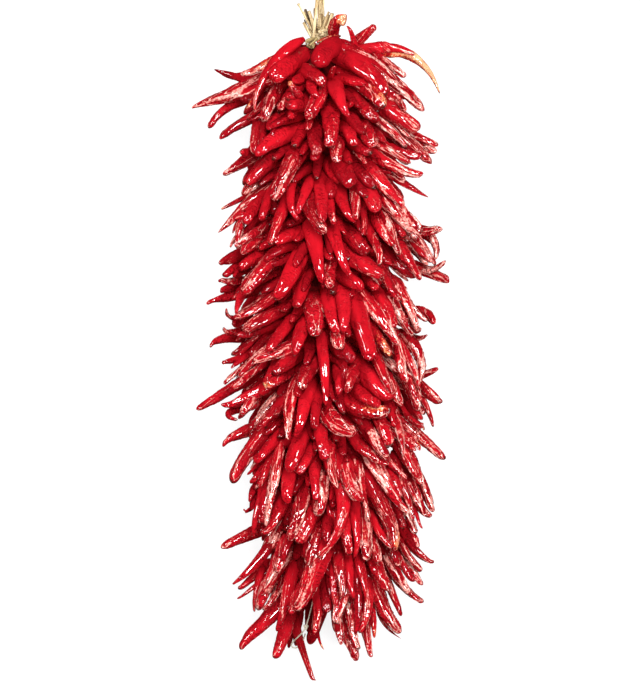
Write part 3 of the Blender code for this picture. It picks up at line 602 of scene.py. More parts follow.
def skin_relief(along, around, finishes):
    """How far the skin stands in or out, as a share of the radius, and how far it is a crest."""
    count = len(along)
    ends = np.clip(along / 0.15, 0, 1)
    toward_tip = 0.35 + 0.65 * np.clip(along * 1.8, 0, 1)
    relief = np.zeros(np.broadcast_shapes(along.shape, around.shape))
    crests = np.zeros_like(relief)
    for k in range(6):
        path = (per_pod(count, 0, 0.9) + k) * math.pi / 3 + per_pod(count, -1.2, 1.2) * along
        path = path + per_pod(count, 0.1, 0.45) * wave(count, 4, 12, along)
        narrow = per_pod(count, 0.16, 0.42)
        swell = 0.55 + 0.45 * wave(count, 3, 11, along)
        deep = trait(finishes, "furrow") * per_pod(count, 0.15, 1.5) * swell * toward_tip * ends
        side = wrapped(around - path) / narrow
        relief -= deep * (np.exp(-side**2) - 0.35 * np.exp(-(side / 2.4) ** 2))
    for k in range(4):
        path = (per_pod(count, 0, 1) + k) * math.pi / 2 + per_pod(count, -1.4, 1.4) * along
        path = path + per_pod(count, 0.1, 0.4) * wave(count, 5, 14, along)
        swell = np.clip(0.3 + wave(count, 3, 9, along), 0, 1)
        crest = np.exp(-(wrapped(around - path) / 0.19) ** 2) * swell * ends
        crests = np.maximum(crests, crest)
        relief += trait(finishes, "crest") * per_pod(count, 0.4, 1.5) * crest
    lumps = per_pod(count, 0.01, 0.06) * wave(count, 6, 13, along, 2 * around)
    lumps = lumps + per_pod(count, 0.0, 0.05) * wave(count, 10, 18, -along, 3 * around)
    crumples = np.zeros_like(relief)
    for k in range(6):
        turns = chance.integers(-4, 5, (count, 1, 1))
        fold = wave(count, 16, 58, along, turns * around)
        crumples += (0.6 - np.abs(fold)) * wave(count, 5, 20, along, around)
    relief += (lumps + trait(finishes, "crumple") * crumples * (0.4 + toward_tip)) * ends
    dimple = np.exp(-((wrapped(around - math.pi / 2 - per_pod(count, -0.9, 0.9)) / 0.5) ** 2)
                    - ((along - per_pod(count, 0.84, 0.95)) / 0.035) ** 2)
    relief -= per_pod(count, 0.0, 0.45) * dimple
    return relief, crests


def outlines(along, ends):
    """The width of each chilli along its length, as a share of its full width."""
    outline = []
    for end in ends:
        loss, power, rounding = (chance.uniform(*span) for span in TAPERS[end][:3])
        shoulder = 0.42 + 0.58 * np.sin(np.clip(along / 0.16, 0, 1) * math.pi / 2)
        body = 1 - loss * np.clip((along - 0.2) / 0.8, 0, 1) ** power
        last = np.clip((along - 1 + rounding) / rounding, 0, 1)
        nib = chance.uniform(0.0, 0.34) * (1 - last)
        outline.append(shoulder * body * np.maximum(np.sqrt(1 - last**2), nib))
    return np.array(outline)[:, :, None]


def pod_rings(lines, widths, finishes, ends, rings, sides):
    """Rings of points round each chilli, and the values that its skin is coloured from."""
    count = len(lines)
    along = 1 - (1 - np.linspace(0, 0.997, rings)) ** 1.6
    middle = smooth_lines(lines, rings)
    middle = np.stack([np.stack([np.interp(along, np.linspace(0, 1, rings), line[:, k])
                                 for k in range(3)], axis=-1) for line in middle])
    heading = unit(np.gradient(middle, axis=1))
    centre = middle[:, rings // 2]
    axis_x = TOP_X + station(STRING_X, TOP_Y - centre[:, 1])
    outward = np.stack([centre[:, 0] - axis_x, np.zeros(count), centre[:, 2] - AXIS_HEIGHT], -1)
    outward = unit(outward + np.array([0, 0, 0.01]))[:, None]
    out = outward - (outward * heading).sum(axis=-1, keepdims=True) * heading
    out = unit(out + 1e-4)
    aside = np.cross(out, heading)
    curl = chance.uniform(-0.9, 0.9, (count, 2))
    hook = (np.clip(along - 0.68, 0, 1) / 0.32) ** 2.4
    hooked = np.array([TAPERS[end][3] for end in ends]) * widths / 2
    bent = hook[None, :, None] * hooked[:, None, None]
    middle = middle + bent * (curl[:, :1, None] * aside + curl[:, 1:, None] * out)
    place = np.broadcast_to(along[None, :, None], (count, rings, 1))
    around = np.linspace(0, 2 * math.pi, sides, endpoint=False)[None, None, :]
    around = around - SHOWN_SIDE_SHARE * np.sin(around - math.pi / 2)
    outline = outlines(along, ends)
    relief, crests = skin_relief(place, around, finishes)
    radius = widths[:, None, None] / 2 * outline
    flat = per_pod(count, 0.66, 0.94)
    tilt = around - per_pod(count, -0.35, 0.35) - per_pod(count, -0.8, 0.8) * place
    square = per_pod(count, 1.9, 3.2)
    squash = np.abs(np.cos(tilt)) ** square + (np.abs(np.sin(tilt)) / flat) ** square
    squash = squash ** (-1 / square)
    reach = radius * (1 + relief) * squash
    points = (middle[:, :, None] + (reach * np.cos(around))[..., None] * aside[:, :, None]
              + (reach * np.sin(around))[..., None] * out[:, :, None])
    lengths = np.linalg.norm(np.diff(middle, axis=1), axis=-1).sum(axis=1)[:, None, None]
    skin = np.stack([radius * np.cos(around), radius * np.sin(around), place * lengths + 0 * reach],
                    axis=-1)
    skin = skin + chance.uniform(0, 4, (count, 1, 1, 3))
    tan_from = trait(finishes, "tan_from") + per_pod(count, -0.06, 0.08)
    tan_side = wrapped(around - per_pod(count, 0.6, 2.5))
    patch = np.exp(-((place - tan_from) / (1.12 - tan_from)) ** 2 - (tan_side / 1.5) ** 2)
    tip_across = middle[:, -1, 0] - TOP_X
    tip_down = TOP_Y - middle[:, -1, 1]
    # Paler towards the right and towards the bottom: partly bleached skin, partly a painted sheen
    # where the light fell brighter.
    side_bleach_and_sheen = 0.28 * np.clip((tip_across - 0.03) / 0.09, 0, 1)
    side_bleach_and_sheen = side_bleach_and_sheen + 0.08 * np.clip((tip_down - 0.55) / 0.25, 0, 1)
    pale = trait(finishes, "pale") + side_bleach_and_sheen[:, None, None]
    pale = pale * per_pod(count, 0.5, 1.4) * (0.16 + 1.2 * place**1.3)
    full = np.zeros_like(reach)
    values = {
        "skin": skin,
        "along": full + place,
        "relief": relief,
        "crest": crests,
        # The tone is at random for each chilli and pulled dark by its finish; for the inner finish
        # that darkness is painted shade.
        "tone": full + per_pod(count, -1, 1) - 1.6 * trait(finishes, "dark"),
        "pale": full + np.clip(pale, 0, 3.5),
        "tan": trait(finishes, "tan") * patch,
        "burnt": full + per_pod(count, 0, 1) ** 3,
    }
    tips = middle[:, -1] + heading[:, -1] * 0.0004
    stems = middle[:, 0] - heading[:, 0] * 0.001
    return points, stems, tips, values


def eased(values, low, high, margin):
    """Values with those near or past two limits drawn in smoothly between them."""
    over = np.maximum(values - (high - margin), 0)
    under = np.maximum(low + margin - values, 0)
    values = np.minimum(values, high - margin) + margin * (1 - np.exp(-over / margin))
    return np.maximum(values, low + margin) - margin * (1 - np.exp(-under / margin))


def kept_inside(points):
    """Points pressed flat where they meet the floor, and kept within the size of the bundle."""
    low = np.array([bundle_low[0], bundle_low[1], 0.0]) + 0.0002
    high = np.array([bundle_high[0], bundle_high[1] + HEAD_ROOM, bundle_high[2]]) - 0.0002
    margins = np.array([0.004, 0.004, 0.003])
    return eased(points, low, high, margins)


def corner_values(grid, stems, tips):
    """A value for every face corner, from a grid over each chilli: first for its four-sided faces,
    then for the fans that close its stem end and its tip."""
    quads = np.stack([grid[:, :-1, :-1], grid[:, :-1, 1:], grid[:, 1:, 1:], grid[:, 1:, :-1]], -1)
    stem_fans = np.stack([grid[:, 0, 1:], grid[:, 0, :-1], stems], axis=-1)
    tip_fans = np.stack([grid[:, -1, :-1], grid[:, -1, 1:], tips], axis=-1)
    return np.concatenate([quads.reshape(-1), stem_fans.reshape(-1), tip_fans.reshape(-1)])


def strip_map(count, rings, sides):
    """Each chilli laid out in its own cell of the map: (u, v) for every face corner."""
    columns = math.ceil(math.sqrt(count * 1.6))
    rows = math.ceil(count / columns)
    cell = np.arange(count)
    left = (cell % columns)[:, None, None] + CELL_MARGIN
    foot = (cell // columns)[:, None, None] + CELL_MARGIN
    room = 1 - 2 * CELL_MARGIN
    side = (np.arange(sides + 1) / sides)[None, None, :]
    step = ((np.arange(rings) + 1) / (rings + 1))[None, :, None]
    u = (left + room * side + 0 * step) / columns
    v = (foot + room * step + 0 * side) / rows
    middle_u = (u[:, 0, :-1] + u[:, 0, 1:]) / 2
    low_v = np.broadcast_to(foot[:, 0] / rows, middle_u.shape)
    high_v = np.broadcast_to((foot[:, 0] + room) / rows, middle_u.shape)
    return np.stack([corner_values(u, middle_u, middle_u), corner_values(v, low_v, high_v)], -1)


def pod_piece(name, points, stems, tips, values, material):
    """One mesh of all the chillies of a kind."""
    count, rings, sides = points.shape[:3]
    body = np.arange(count * rings * sides).reshape(count, rings, sides)
    body = np.concatenate([body, body[:, :, :1]], axis=2)
    stem_ids = count * rings * sides + np.arange(count)[:, None] + np.zeros((1, sides), int)
    corners = corner_values(body, stem_ids, stem_ids + count)
    sizes = np.repeat([4, 3], [count * (rings - 1) * sides, 2 * count * sides])
    starts = np.cumsum(sizes) - sizes
    places = kept_inside(np.concatenate([points.reshape(-1, 3), stems, tips]))
    mesh = bpy.data.meshes.new(name)
    mesh.vertices.add(len(places))
    mesh.vertices.foreach_set("co", places.astype(np.float32).reshape(-1))
    mesh.loops.add(len(corners))
    mesh.loops.foreach_set("vertex_index", corners.astype(np.int32))
    mesh.polygons.add(len(sizes))
    mesh.polygons.foreach_set("loop_start", starts.astype(np.int32))
    mesh.polygons.foreach_set("loop_total", sizes.astype(np.int32))
    mesh.update(calc_edges=True)
    mesh.validate()
    mesh.shade_smooth()
    layer = mesh.uv_layers.new(name="OFBake")
    layer.data.foreach_set("uv", strip_map(count, rings, sides).astype(np.float32).reshape(-1))
    for key, value in values.items():
        kind, field = ("FLOAT_VECTOR", "vector") if value.ndim == 4 else ("FLOAT", "value")
        full = [value.reshape(-1, *value.shape[3:]), value[:, 0, 0], value[:, -1, 0]]
        made = mesh.attributes.new(key, kind, "POINT")
        made.data.foreach_set(field, np.concatenate(full).astype(np.float32).reshape(-1))
    return new_piece(name, mesh, material)


def new_piece(name, data, material):
    """An object of the string, riding with it, with the finish that it is given."""
    data.materials.append(material)
    made = bpy.data.objects.new(name, data)
    bpy.context.scene.collection.objects.link(made)
    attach(made, "root")
    return made


# ---------------------------------------------------------------- finishes

DEEP_RED = (0.20, 0.0028, 0.0062)
RED = (0.355, 0.0044, 0.0098)
BRIGHT_RED = (0.415, 0.0078, 0.0155)
SALMON = (0.90, 0.34, 0.29)
PALE_PINK_AND_SHEEN = (0.97, 0.66, 0.58)
TAN = (0.76, 0.36, 0.19)
RUST = (0.72, 0.11, 0.035)
BURNT = (0.055, 0.010, 0.007)
# How near the middle of the folding noise a pale crease runs.
CREST_REACH = 0.035


def chilli_skin(name, wrinkling, shine, glazing):
    """Dried chilli skin: crimson to scarlet, bleached along its crests with a painted highlight
    there too, darkened as painted shade in its furrows, and waxy in patches.
    """
    skin = Shader(name)
    place = skin.attribute("skin", "Vector")
    along, relief, ridge, tone, pale, tan, burnt = (skin.attribute(value) for value in (
        "along", "relief", "crest", "tone", "pale", "tan", "burnt"))
    blotches = skin.noise(place, 70, 38)
    mottle = skin.noise(place, 420, 260)
    fold = skin.noise(place, 120, 16, detail=2, rough=0.4, bend=0.6)
    crest = 1 - ((fold - 0.5).size() / CREST_REACH).least(1)
    crinkle = skin.noise(place, 240, 130, detail=1, rough=0.4, bend=0.8)
    specks = skin.noise(place, 360, 240, detail=1)
    pleat = skin.noise(place, 60, 420, detail=1, bend=0.3)
    puckers = skin.pits(place, 150, 330)
    waxy = skin.noise(place, 75, 42, detail=2)
    shiny = (waxy + 0.34 * along).between(0.67 - 0.12 * shine, 0.77 - 0.12 * shine)
    shade = 0.42 + 0.24 * tone + 0.7 * (blotches - 0.5) + 0.3 * (mottle - 0.5)
    colour = skin.mix(shade.between(0.0, 0.5), DEEP_RED, RED)
    colour = skin.mix(shade.between(0.45, 0.95), colour, BRIGHT_RED)
    # Painted shade: the skin is darkened towards deep red where the relief sinks into its furrows.
    colour = skin.mix((0.0 - relief).between(0.05, 0.34) * 0.7, colour, DEEP_RED)
    bleached = pale * (0.16 + 1.1 * ridge + 1.6 * crest + 1.8 * (blotches - 0.5))
    bleached = bleached * (0.1 + 1.8 * mottle)
    bleached = bleached.between(0.28, 0.60) * (0.3 + 0.7 * mottle.between(0.40, 0.56))
    colour = skin.mix(bleached * 0.92, colour, SALMON)
    # Pale pink lines along the crests and ridges: partly bleached skin, partly a painted highlight
    # on the sharp crests.
    lines = (crest * crest * pale + 0.8 * (ridge - 0.5) * pale) * (0.4 + 1.2 * mottle)
    colour = skin.mix(lines.between(0.16, 0.50) * 0.85, colour, PALE_PINK_AND_SHEEN)
    dried = tan + 1.5 * (mottle - 0.5) + 1.3 * (crinkle - 0.5) + 1.2 * (blotches - 0.5)
    colour = skin.mix(dried.between(0.35, 0.75) * tan.between(0.1, 0.3) * 0.8, colour, RUST)
    tanned = dried.between(0.60, 0.95) * tan.between(0.1, 0.3)
    colour = skin.mix(tanned * 0.9, colour, TAN)
    singed = along.between(0.955, 1.0) * burnt.between(0.05, 0.5)
    colour = skin.mix(singed, colour, BURNT)
    toward_tip = 0.3 + 0.9 * along
    pleats = along.between(0.45, 0.9) * (0.3 + shiny)
    dots = specks.between(0.60, 0.70)
    creased = pale.between(0.08, 0.75)
    height = 0.6 * crest * toward_tip * creased + (0.12 + 3.0 * shiny) * (crinkle - 0.5)
    height = height + 1.3 * pleats * (pleat - 0.5) + 0.04 * dots + 1.9 * shiny * (puckers - 0.5)
    rough = 0.52 + 0.14 * (mottle - 0.5) + 0.1 * bleached
    glaze = (shiny * (0.9 + 1.2 * (crinkle - 0.4)) + 0.8 * dots + 0.9 * crest * pale
             + 0.5 * ridge * pale).least(1) * glazing
    skin.set(
        Base_Color=colour,
        Roughness=rough,
        Normal=skin.bump(height, MM * wrinkling),
        Coat_Weight=glaze,
        Coat_Roughness=0.08,
        Coat_IOR=1.65,
        Specular_IOR_Level=0.0,
    )
    return skin.material


def painted_shade_core_skin():
    """Painted shade for the stems and string in the middle of the bundle: near black and dark
    crimson in patches.
    """
    skin = Shader("shaded_middle")
    place = skin.node("ShaderNodeTexCoord", output="Object")
    patches = skin.noise(place, 90, 90, detail=4)
    colour = skin.mix(patches.between(0.35, 0.65), (0.04, 0.002, 0.002), (0.14, 0.004, 0.006))
    skin.set(Base_Color=colour, Roughness=0.9, Specular_IOR_Level=0.05,
             Normal=skin.bump(patches, 0.004))
    return skin.material


def straw_skin(name, light=(0.62, 0.48, 0.26), shade=(0.17, 0.095, 0.032), cream=0.55):
    """Dry straw: cream and tan fibres along it, the dark ones partly painted shade between stalks
    and plies, with brown specks and darker cut ends.
    """
    straw = Shader(name)
    place = straw.attribute("fibre", "Vector")
    end = straw.attribute("along")
    fibres = straw.noise(place, 450, 16, detail=4, rough=0.65)
    patches = straw.noise(place, 120, 60)
    # The fibres run between a light and a shade colour: partly the straw's own streaks, partly
    # painted shade between the stalks and plies.
    colour = straw.mix(fibres.between(0.38, 0.60), shade, light)
    colour = straw.mix(patches.between(0.52, 0.75) * cream, colour, (0.66, 0.57, 0.38))
    specks = straw.noise(place, 300, 90, detail=4)
    colour = straw.mix(specks.between(0.60, 0.72) * 0.7, colour, (0.20, 0.11, 0.05))
    colour = straw.mix(end.between(0.93, 1.0) * 0.6, colour, (0.16, 0.09, 0.045))
    straw.set(Base_Color=colour, Roughness=0.62 + 0.2 * (fibres - 0.5),
              Normal=straw.bump(fibres, 0.0006), Specular_IOR_Level=0.35)
    return straw.material


# ---------------------------------------------------------------- strands


def join_rings(shape, rings):
    """Adds the faces between each ring of points and the next."""
    for low, high in zip(rings, rings[1:]):
        for j in range(len(low)):
            ahead = (j + 1) % len(low)
            shape.faces.new((low[j], low[ahead], high[ahead], high[j]))


def add_strand(shape, points, radius_at, sides, lobes, lobe_depth, turns=0.0, hollow=False,
               flat=1.0):
    """Adds a strand along points, lobed like a bundle of fibres, with its fibre coordinates."""
    fibre = shape.verts.layers.float_vector.get("fibre")
    along = shape.verts.layers.float.get("along")
    points = np.asarray(points, dtype=float)
    heading = unit(np.gradient(points, axis=0))
    out = np.empty_like(points)
    guide = np.cross(heading[0], (0.0, 0.0, 1.0))
    if np.linalg.norm(guide) < 1e-3:
        guide = np.array([1.0, 0.0, 0.0])
    for k, ahead in enumerate(heading):
        guide = guide - guide.dot(ahead) * ahead
        guide = guide / np.linalg.norm(guide)
        out[k] = guide
    aside = np.cross(heading, out)
    travelled = np.concatenate([[0], np.cumsum(np.linalg.norm(np.diff(points, axis=0), axis=1))])
    share = travelled / travelled[-1]
    angle = np.linspace(0, 2 * math.pi, sides, endpoint=False)
    radius = np.array([radius_at(s) for s in share])[:, None]
    spin = angle[None, :] + turns * 2 * math.pi * share[:, None]
    radius = radius * (1 - lobe_depth * (1 - np.abs(np.cos(lobes * angle / 2)))[None, :])
    rings = (points[:, None] + (radius * np.cos(spin))[..., None] * out[:, None]
             + (flat * radius * np.sin(spin))[..., None] * aside[:, None])
    made = []
    offset = chance.uniform(0, 5)
    for k, ring in enumerate(rings):
        row = []
        for j, place in enumerate(ring):
            vert = shape.verts.new(place)
            vert[fibre] = (radius[k, j] * math.cos(angle[j]) + offset,
                           radius[k, j] * math.sin(angle[j]), travelled[k])
            vert[along] = share[k]
            row.append(vert)
        made.append(row)
    join_rings(shape, made)
    shape.faces.new(made[0][::-1])
    end = made[-1]
    if hollow:
        centre = Vector(points[-1])
        inner = [shape.verts.new(centre.lerp(v.co, 0.66)) for v in end]
        depth = [shape.verts.new(centre.lerp(v.co, 0.5) - Vector(heading[-1]) * 0.003) for v in end]
        for row in (inner, depth):
            for j, vert in enumerate(row):
                vert[fibre] = (math.cos(angle[j]) * 0.001 + offset, math.sin(angle[j]) * 0.001, 0.9)
                vert[along] = 1.0
        join_rings(shape, [end, inner, depth])
        end = depth
    shape.faces.new(end)


def strand_shape():
    """An empty shape that strands are added to."""
    shape = bmesh.new()
    shape.verts.layers.float_vector.new("fibre")
    shape.verts.layers.float.new("along")
    return shape


def finished_mesh(name, shape):
    bmesh.ops.recalc_face_normals(shape, faces=shape.faces)
    mesh = bpy.data.meshes.new(name)
    shape.to_mesh(mesh)
    shape.free()
    mesh.shade_smooth()
    return mesh


def strand_mesh(name, points, radius_at, sides, **form):
    """One strand along points, as a mesh of its own."""
    shape = strand_shape()
    add_strand(shape, points, radius_at, sides, **form)
    return finished_mesh(name, shape)


def fine_route(route, step):
    """Points every step along a smooth curve through a cord's route."""
    knots = [Vector(on_model(place)) for place in route]
    slopes = [(b - a) / 2 for a, b in zip([knots[0], *knots], [*knots[1:], knots[-1]])]
    fine = []
    for first, second, start, end in zip(knots, knots[1:], slopes, slopes[1:]):
        fine += interpolate_bezier(first, first + start / 3, second - end / 3, second, 24)[:-1]
    fine = np.array([*fine, knots[-1]])
    travelled = np.concatenate([[0], np.cumsum(np.linalg.norm(np.diff(fine, axis=0), axis=1))])
    wanted = np.linspace(0, travelled[-1], max(8, round(travelled[-1] / step)))
    return np.stack([np.interp(wanted, travelled, fine[:, k]) for k in range(3)], axis=-1)


# The routes of the hanging loop and of the loose thread.
LOOP_THICKNESS = 0.0046
LOOP_ROUTE = (
    (-0.0150, 0.0020, 0.1008), (-0.0145, -0.0140, 0.1030), (-0.0130, -0.0300, 0.1020),
    (-0.0115, -0.0470, 0.0975), (-0.0105, -0.0620, 0.0885), (-0.0100, -0.0750, 0.0745),
    (-0.0105, -0.0860, 0.0565), (-0.0120, -0.0940, 0.0370), (-0.0150, -0.1010, 0.0185),
    (-0.0195, -0.1110, 0.0065), (-0.0230, -0.1250, 0.0027), (-0.0205, -0.1400, 0.0026),
    (-0.0110, -0.1495, 0.0026), (0.0020, -0.1480, 0.0026), (0.0095, -0.1370, 0.0026),
    (0.0090, -0.1220, 0.0030), (0.0050, -0.1090, 0.0085), (0.0010, -0.0990, 0.0215),
    (-0.0020, -0.0890, 0.0370), (-0.0040, -0.0770, 0.0515), (-0.0045, -0.0630, 0.0635),
    (-0.0045, -0.0470, 0.0715), (-0.0055, -0.0300, 0.0745), (-0.0065, -0.0140, 0.0745),
    (-0.0070, 0.0010, 0.0750),
)
TAIL_THICKNESS = 0.0019
TAIL_KNOT_AT = 3
TAIL_ROUTE = (
    (-0.0160, 0.7560, 0.0620), (-0.0190, 0.7700, 0.0610), (-0.0225, 0.7830, 0.0590),
    (-0.0260, 0.7950, 0.0560), (-0.0300, 0.8020, 0.0500), (-0.0345, 0.8075, 0.0420),
    (-0.0395, 0.8130, 0.0330), (-0.0440, 0.8180, 0.0240), (-0.0460, 0.8225, 0.0170),
    (-0.0440, 0.8260, 0.0140), (-0.0400, 0.8265, 0.0150), (-0.0360, 0.8240, 0.0190),
    (-0.0325, 0.8200, 0.0240), (-0.0295, 0.8140, 0.0290), (-0.0270, 0.8060, 0.0340),
)


def hanging_loop(material):
    """The twine that the string hangs by: a band of dry fibres, twisted slowly."""
    points = fine_route(LOOP_ROUTE, 0.0018)
    points[:, 1] = np.minimum(points[:, 1], cad_box[1][1] - LOOP_THICKNESS / 2 - MM)
    mesh = strand_mesh("twine_loop", points, lambda s: LOOP_THICKNESS / 2, 20, lobes=5,
                       lobe_depth=0.24, turns=6)
    loop = new_piece("twine_loop", mesh, material)
    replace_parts(loop, "hanging_loop")


def overhand_knot(name, centre, size, thickness, material):
    """A small tight knot: a strand wound in a trefoil about a centre."""
    turn = np.linspace(0, 2 * math.pi, 90)
    knot = np.stack([np.sin(turn) + 2 * np.sin(2 * turn), np.cos(turn) - 2 * np.cos(2 * turn),
                     -np.sin(3 * turn)], axis=-1)
    knot = np.asarray(centre) + knot * np.array([size / 3, size / 3, size / 2.2])
    mesh = strand_mesh(name, knot, lambda s: thickness / 2, 12, lobes=3, lobe_depth=0.2,
                       turns=14)
    return new_piece(name, mesh, material)


def tail_thread(material):
    """The thin thread at the bottom end, of two plies, with a knot in it."""
    points = fine_route(TAIL_ROUTE, 0.0005)
    mesh = strand_mesh("loose_thread", points, lambda s: TAIL_THICKNESS / 2 * 1.05, 10, lobes=2,
                       lobe_depth=0.32, turns=34)
    thread = new_piece("loose_thread", mesh, material)
    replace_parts(thread, "tail_thread")
    knot = overhand_knot("thread_knot", on_model(TAIL_ROUTE[TAIL_KNOT_AT]), 0.0030, 0.0020,
                         material)


# The cut stalks in the order of their solids, in millimetres: (across, down) of the foot and of the
# cut end, how far in front of the string's middle they stand, their thickness, and whether they are
# brown.
STALKS = (
    (-17, -12, -36.5, -50, 6, 1.9, False), (-13, -8, -22, -40, 6, 4.8, False),
    (-5, -8, 5.2, -39, 5, 3.6, False), (0, -6, 10, -37, 4, 4.8, False),
    (-16, -8, -29.5, -39, 2, 4.4, False), (-12, -8, -14, -44, -2, 3.0, True),
    (-8, -8, -5.5, -36, 2, 4.8, False), (-2, -6, 7.5, -33, 0, 4.4, True),
    (-16, -2, -29, -25, -3, 3.8, False), (-14, -8, -27, -43, -5, 3.8, True),
    (-6, -8, -0.5, -33, -4, 4.4, False), (-2, -8, 3, -30, -5, 4.2, True),
)
# The short frayed ends below the tie, as (across, down) of the foot and of the end.
FRAYED_ENDS = (
    (-14, -3, -26, 6), (-13, -2, -25, 9), (-12, -1, -22, 11), (-13, -4, -27, 3), (-11, 0, -19, 12),
    (-12, -5, -25, 0), (-11, -2, -21, 8), (-10, 0, -16, 12), (-13, -3, -23, 4), (-11, -1, -18, 9),
)
# The flat straps: across at the foot and at the end, how far in front of the string's middle they
# lie, their width, and down at the foot and at the end.
STRAPS = (
    (-8.5, -8.0, -6, 5.0, 0, -60), (-13.0, -6.5, 0, 3.2, 3, -56), (-4.0, -2.5, -9, 3.4, -6, -58),
    (0.0, 4.5, 2, 5.5, -1, -23), (-1.5, 1.5, 4, 4.0, 0, -20),
)
SPLINTERS = 26


def stalk_points(foot, end, front, bend, count=22):
    """Points from a stalk's foot to its cut end, a little bowed to one side."""
    share = np.linspace(0, 1, count)[:, None]
    flat = MM * (np.array(foot) + (np.array(end) - np.array(foot)) * share)
    flat[:, 0] += bend * np.sin(math.pi * share[:, 0])
    rise = AXIS_HEIGHT + MM * front * (0.6 + 0.4 * share)
    return on_model(np.hstack([flat, rise]))


def straw_tuft(material, dark_material, frayed_material):
    """The cut stalks above the tie, each fluted and hollow at its cut end, and their dark
    splinters, which stand partly for painted shade in the gaps between the stalks.
    """
    nodes = sorted(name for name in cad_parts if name.startswith("straw_stalk"))
    for number, (node, stalk) in enumerate(zip(nodes, STALKS)):
        *places, front, thickness, brown = stalk
        points = stalk_points(places[:2], places[2:], front, 0.0008 * math.sin(2.3 * number))

        def radius_at(s):
            swell = 1 + 0.12 * math.exp(-(((s - 0.55) / 0.03) ** 2))
            swell += 0.07 * math.sin(17 * s + number)
            knob = 1.0 * math.exp(-(((s - 0.96) / 0.04) ** 2)) if number == 0 else 0
            return MM * thickness * 0.58 * (swell + knob) * (0.9 + 0.1 * math.cos(2.3 * number))

        mesh = strand_mesh(node + "_straw", points, radius_at, 18, lobes=4 + number % 4,
                           lobe_depth=0.26, turns=0.3 * math.sin(number), hollow=number > 0)
        piece = new_piece(node + "_straw", mesh, dark_material if brown else material)
        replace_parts(piece, node)
    # The splinters take the dark material: partly brown straw, partly painted shade filling the
    # gaps between the stalks.
    straws = strand_shape()
    for k in range(SPLINTERS):
        lean = math.radians(-32 + 60 * (k + chance.uniform(0, 1)) / SPLINTERS)
        foot = (-8 + 14 * math.sin(lean) + chance.uniform(-2, 2), -6 + chance.uniform(-6, 4))
        length = chance.uniform(14, 30)
        end = (foot[0] + length * math.sin(lean), foot[1] - length * math.cos(lean))
        points = stalk_points(foot, end, chance.uniform(-7, 6), chance.uniform(-0.002, 0.002), 12)
        thickness = chance.uniform(1.2, 3.0)
        add_strand(straws, points, lambda s: MM * thickness / 2 * (1.05 - 0.3 * s), 8, lobes=3,
                   lobe_depth=0.3, flat=chance.uniform(0.4, 0.9))
    new_piece("straw_splinters", finished_mesh("straw_splinters", straws), dark_material)
    frayed = strand_shape()
    for across, down, end_across, end_down in FRAYED_ENDS:
        points = stalk_points((across, down), (end_across, end_down), chance.uniform(16, 26),
                              chance.uniform(-0.001, 0.001), 10)
        thickness = chance.uniform(2.2, 3.8)
        add_strand(frayed, points, lambda s: MM * thickness / 2 * (1.1 - 0.25 * s), 10, lobes=4,
                   lobe_depth=0.35, flat=chance.uniform(0.6, 1.0))
    new_piece("frayed_straw", finished_mesh("frayed_straw", frayed), frayed_material)


def flat_straps(material):
    """Flat strips of straw that lie along the twine and hold it in the tie."""
    shape = strand_shape()
    for across, end_across, front, width, foot, end in STRAPS:
        points = stalk_points((across, foot), (end_across, end), front, 0.0008, 30)
        add_strand(shape, points, lambda s: MM * width / 2 * (1 + 0.08 * math.sin(23 * s)), 14,
                   lobes=6, lobe_depth=0.2, turns=0.1, flat=0.45)
    band = stalk_points((-11, -18), (3.5, -12.5), 10, 0.0, 16)
    band[:, 2] += 0.002 * np.sin(np.linspace(0, math.pi, 16))
    add_strand(shape, band, lambda s: 0.0017, 10, lobes=4, lobe_depth=0.25, flat=0.6)
    new_piece("straw_straps", finished_mesh("straw_straps", shape), material)


def tie(material):
    """The windings that hold the tuft, and the knot in front of them."""
    low, high = np.array(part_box("tuft_tie"))
    middle = (low + high) / 2
    half = (high - low) / 2
    thickness = 0.0030
    windings = 4.6
    turn = np.linspace(0, windings * 2 * math.pi, 260)
    rise = np.linspace(-half[1] + thickness / 2, half[1] - thickness / 2, len(turn))
    points = np.stack([middle[0] + (half[0] - thickness / 2) * np.cos(turn), middle[1] + rise,
                       middle[2] + (half[2] - thickness / 2) * np.sin(turn)], axis=-1)
    mesh = strand_mesh("tie_windings", points, lambda s: thickness / 2, 10, lobes=3,
                       lobe_depth=0.25, turns=20)
    wound = new_piece("tie_windings", mesh, material)
    filled = [middle + (0, y, 0) for y in np.linspace(-half[1] + 0.0005, half[1] - 0.0005, 6)]
    mesh = strand_mesh("tie_filling", filled, lambda s: half[2] - thickness * 0.7, 20, lobes=7,
                       lobe_depth=0.2)
    filling = new_piece("tie_filling", mesh, material)
    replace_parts(wound, "tuft_tie")
    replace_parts(filling, "tuft_tie")
    low, high = np.array(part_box("tie_knot"))
    size = (high - low) / 2
    knot = overhand_knot("tie_front_knot", (low + high) / 2, size[0] * 0.66, 0.0034, material)
    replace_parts(knot, "tie_knot")


# ---------------------------------------------------------------- the bundle


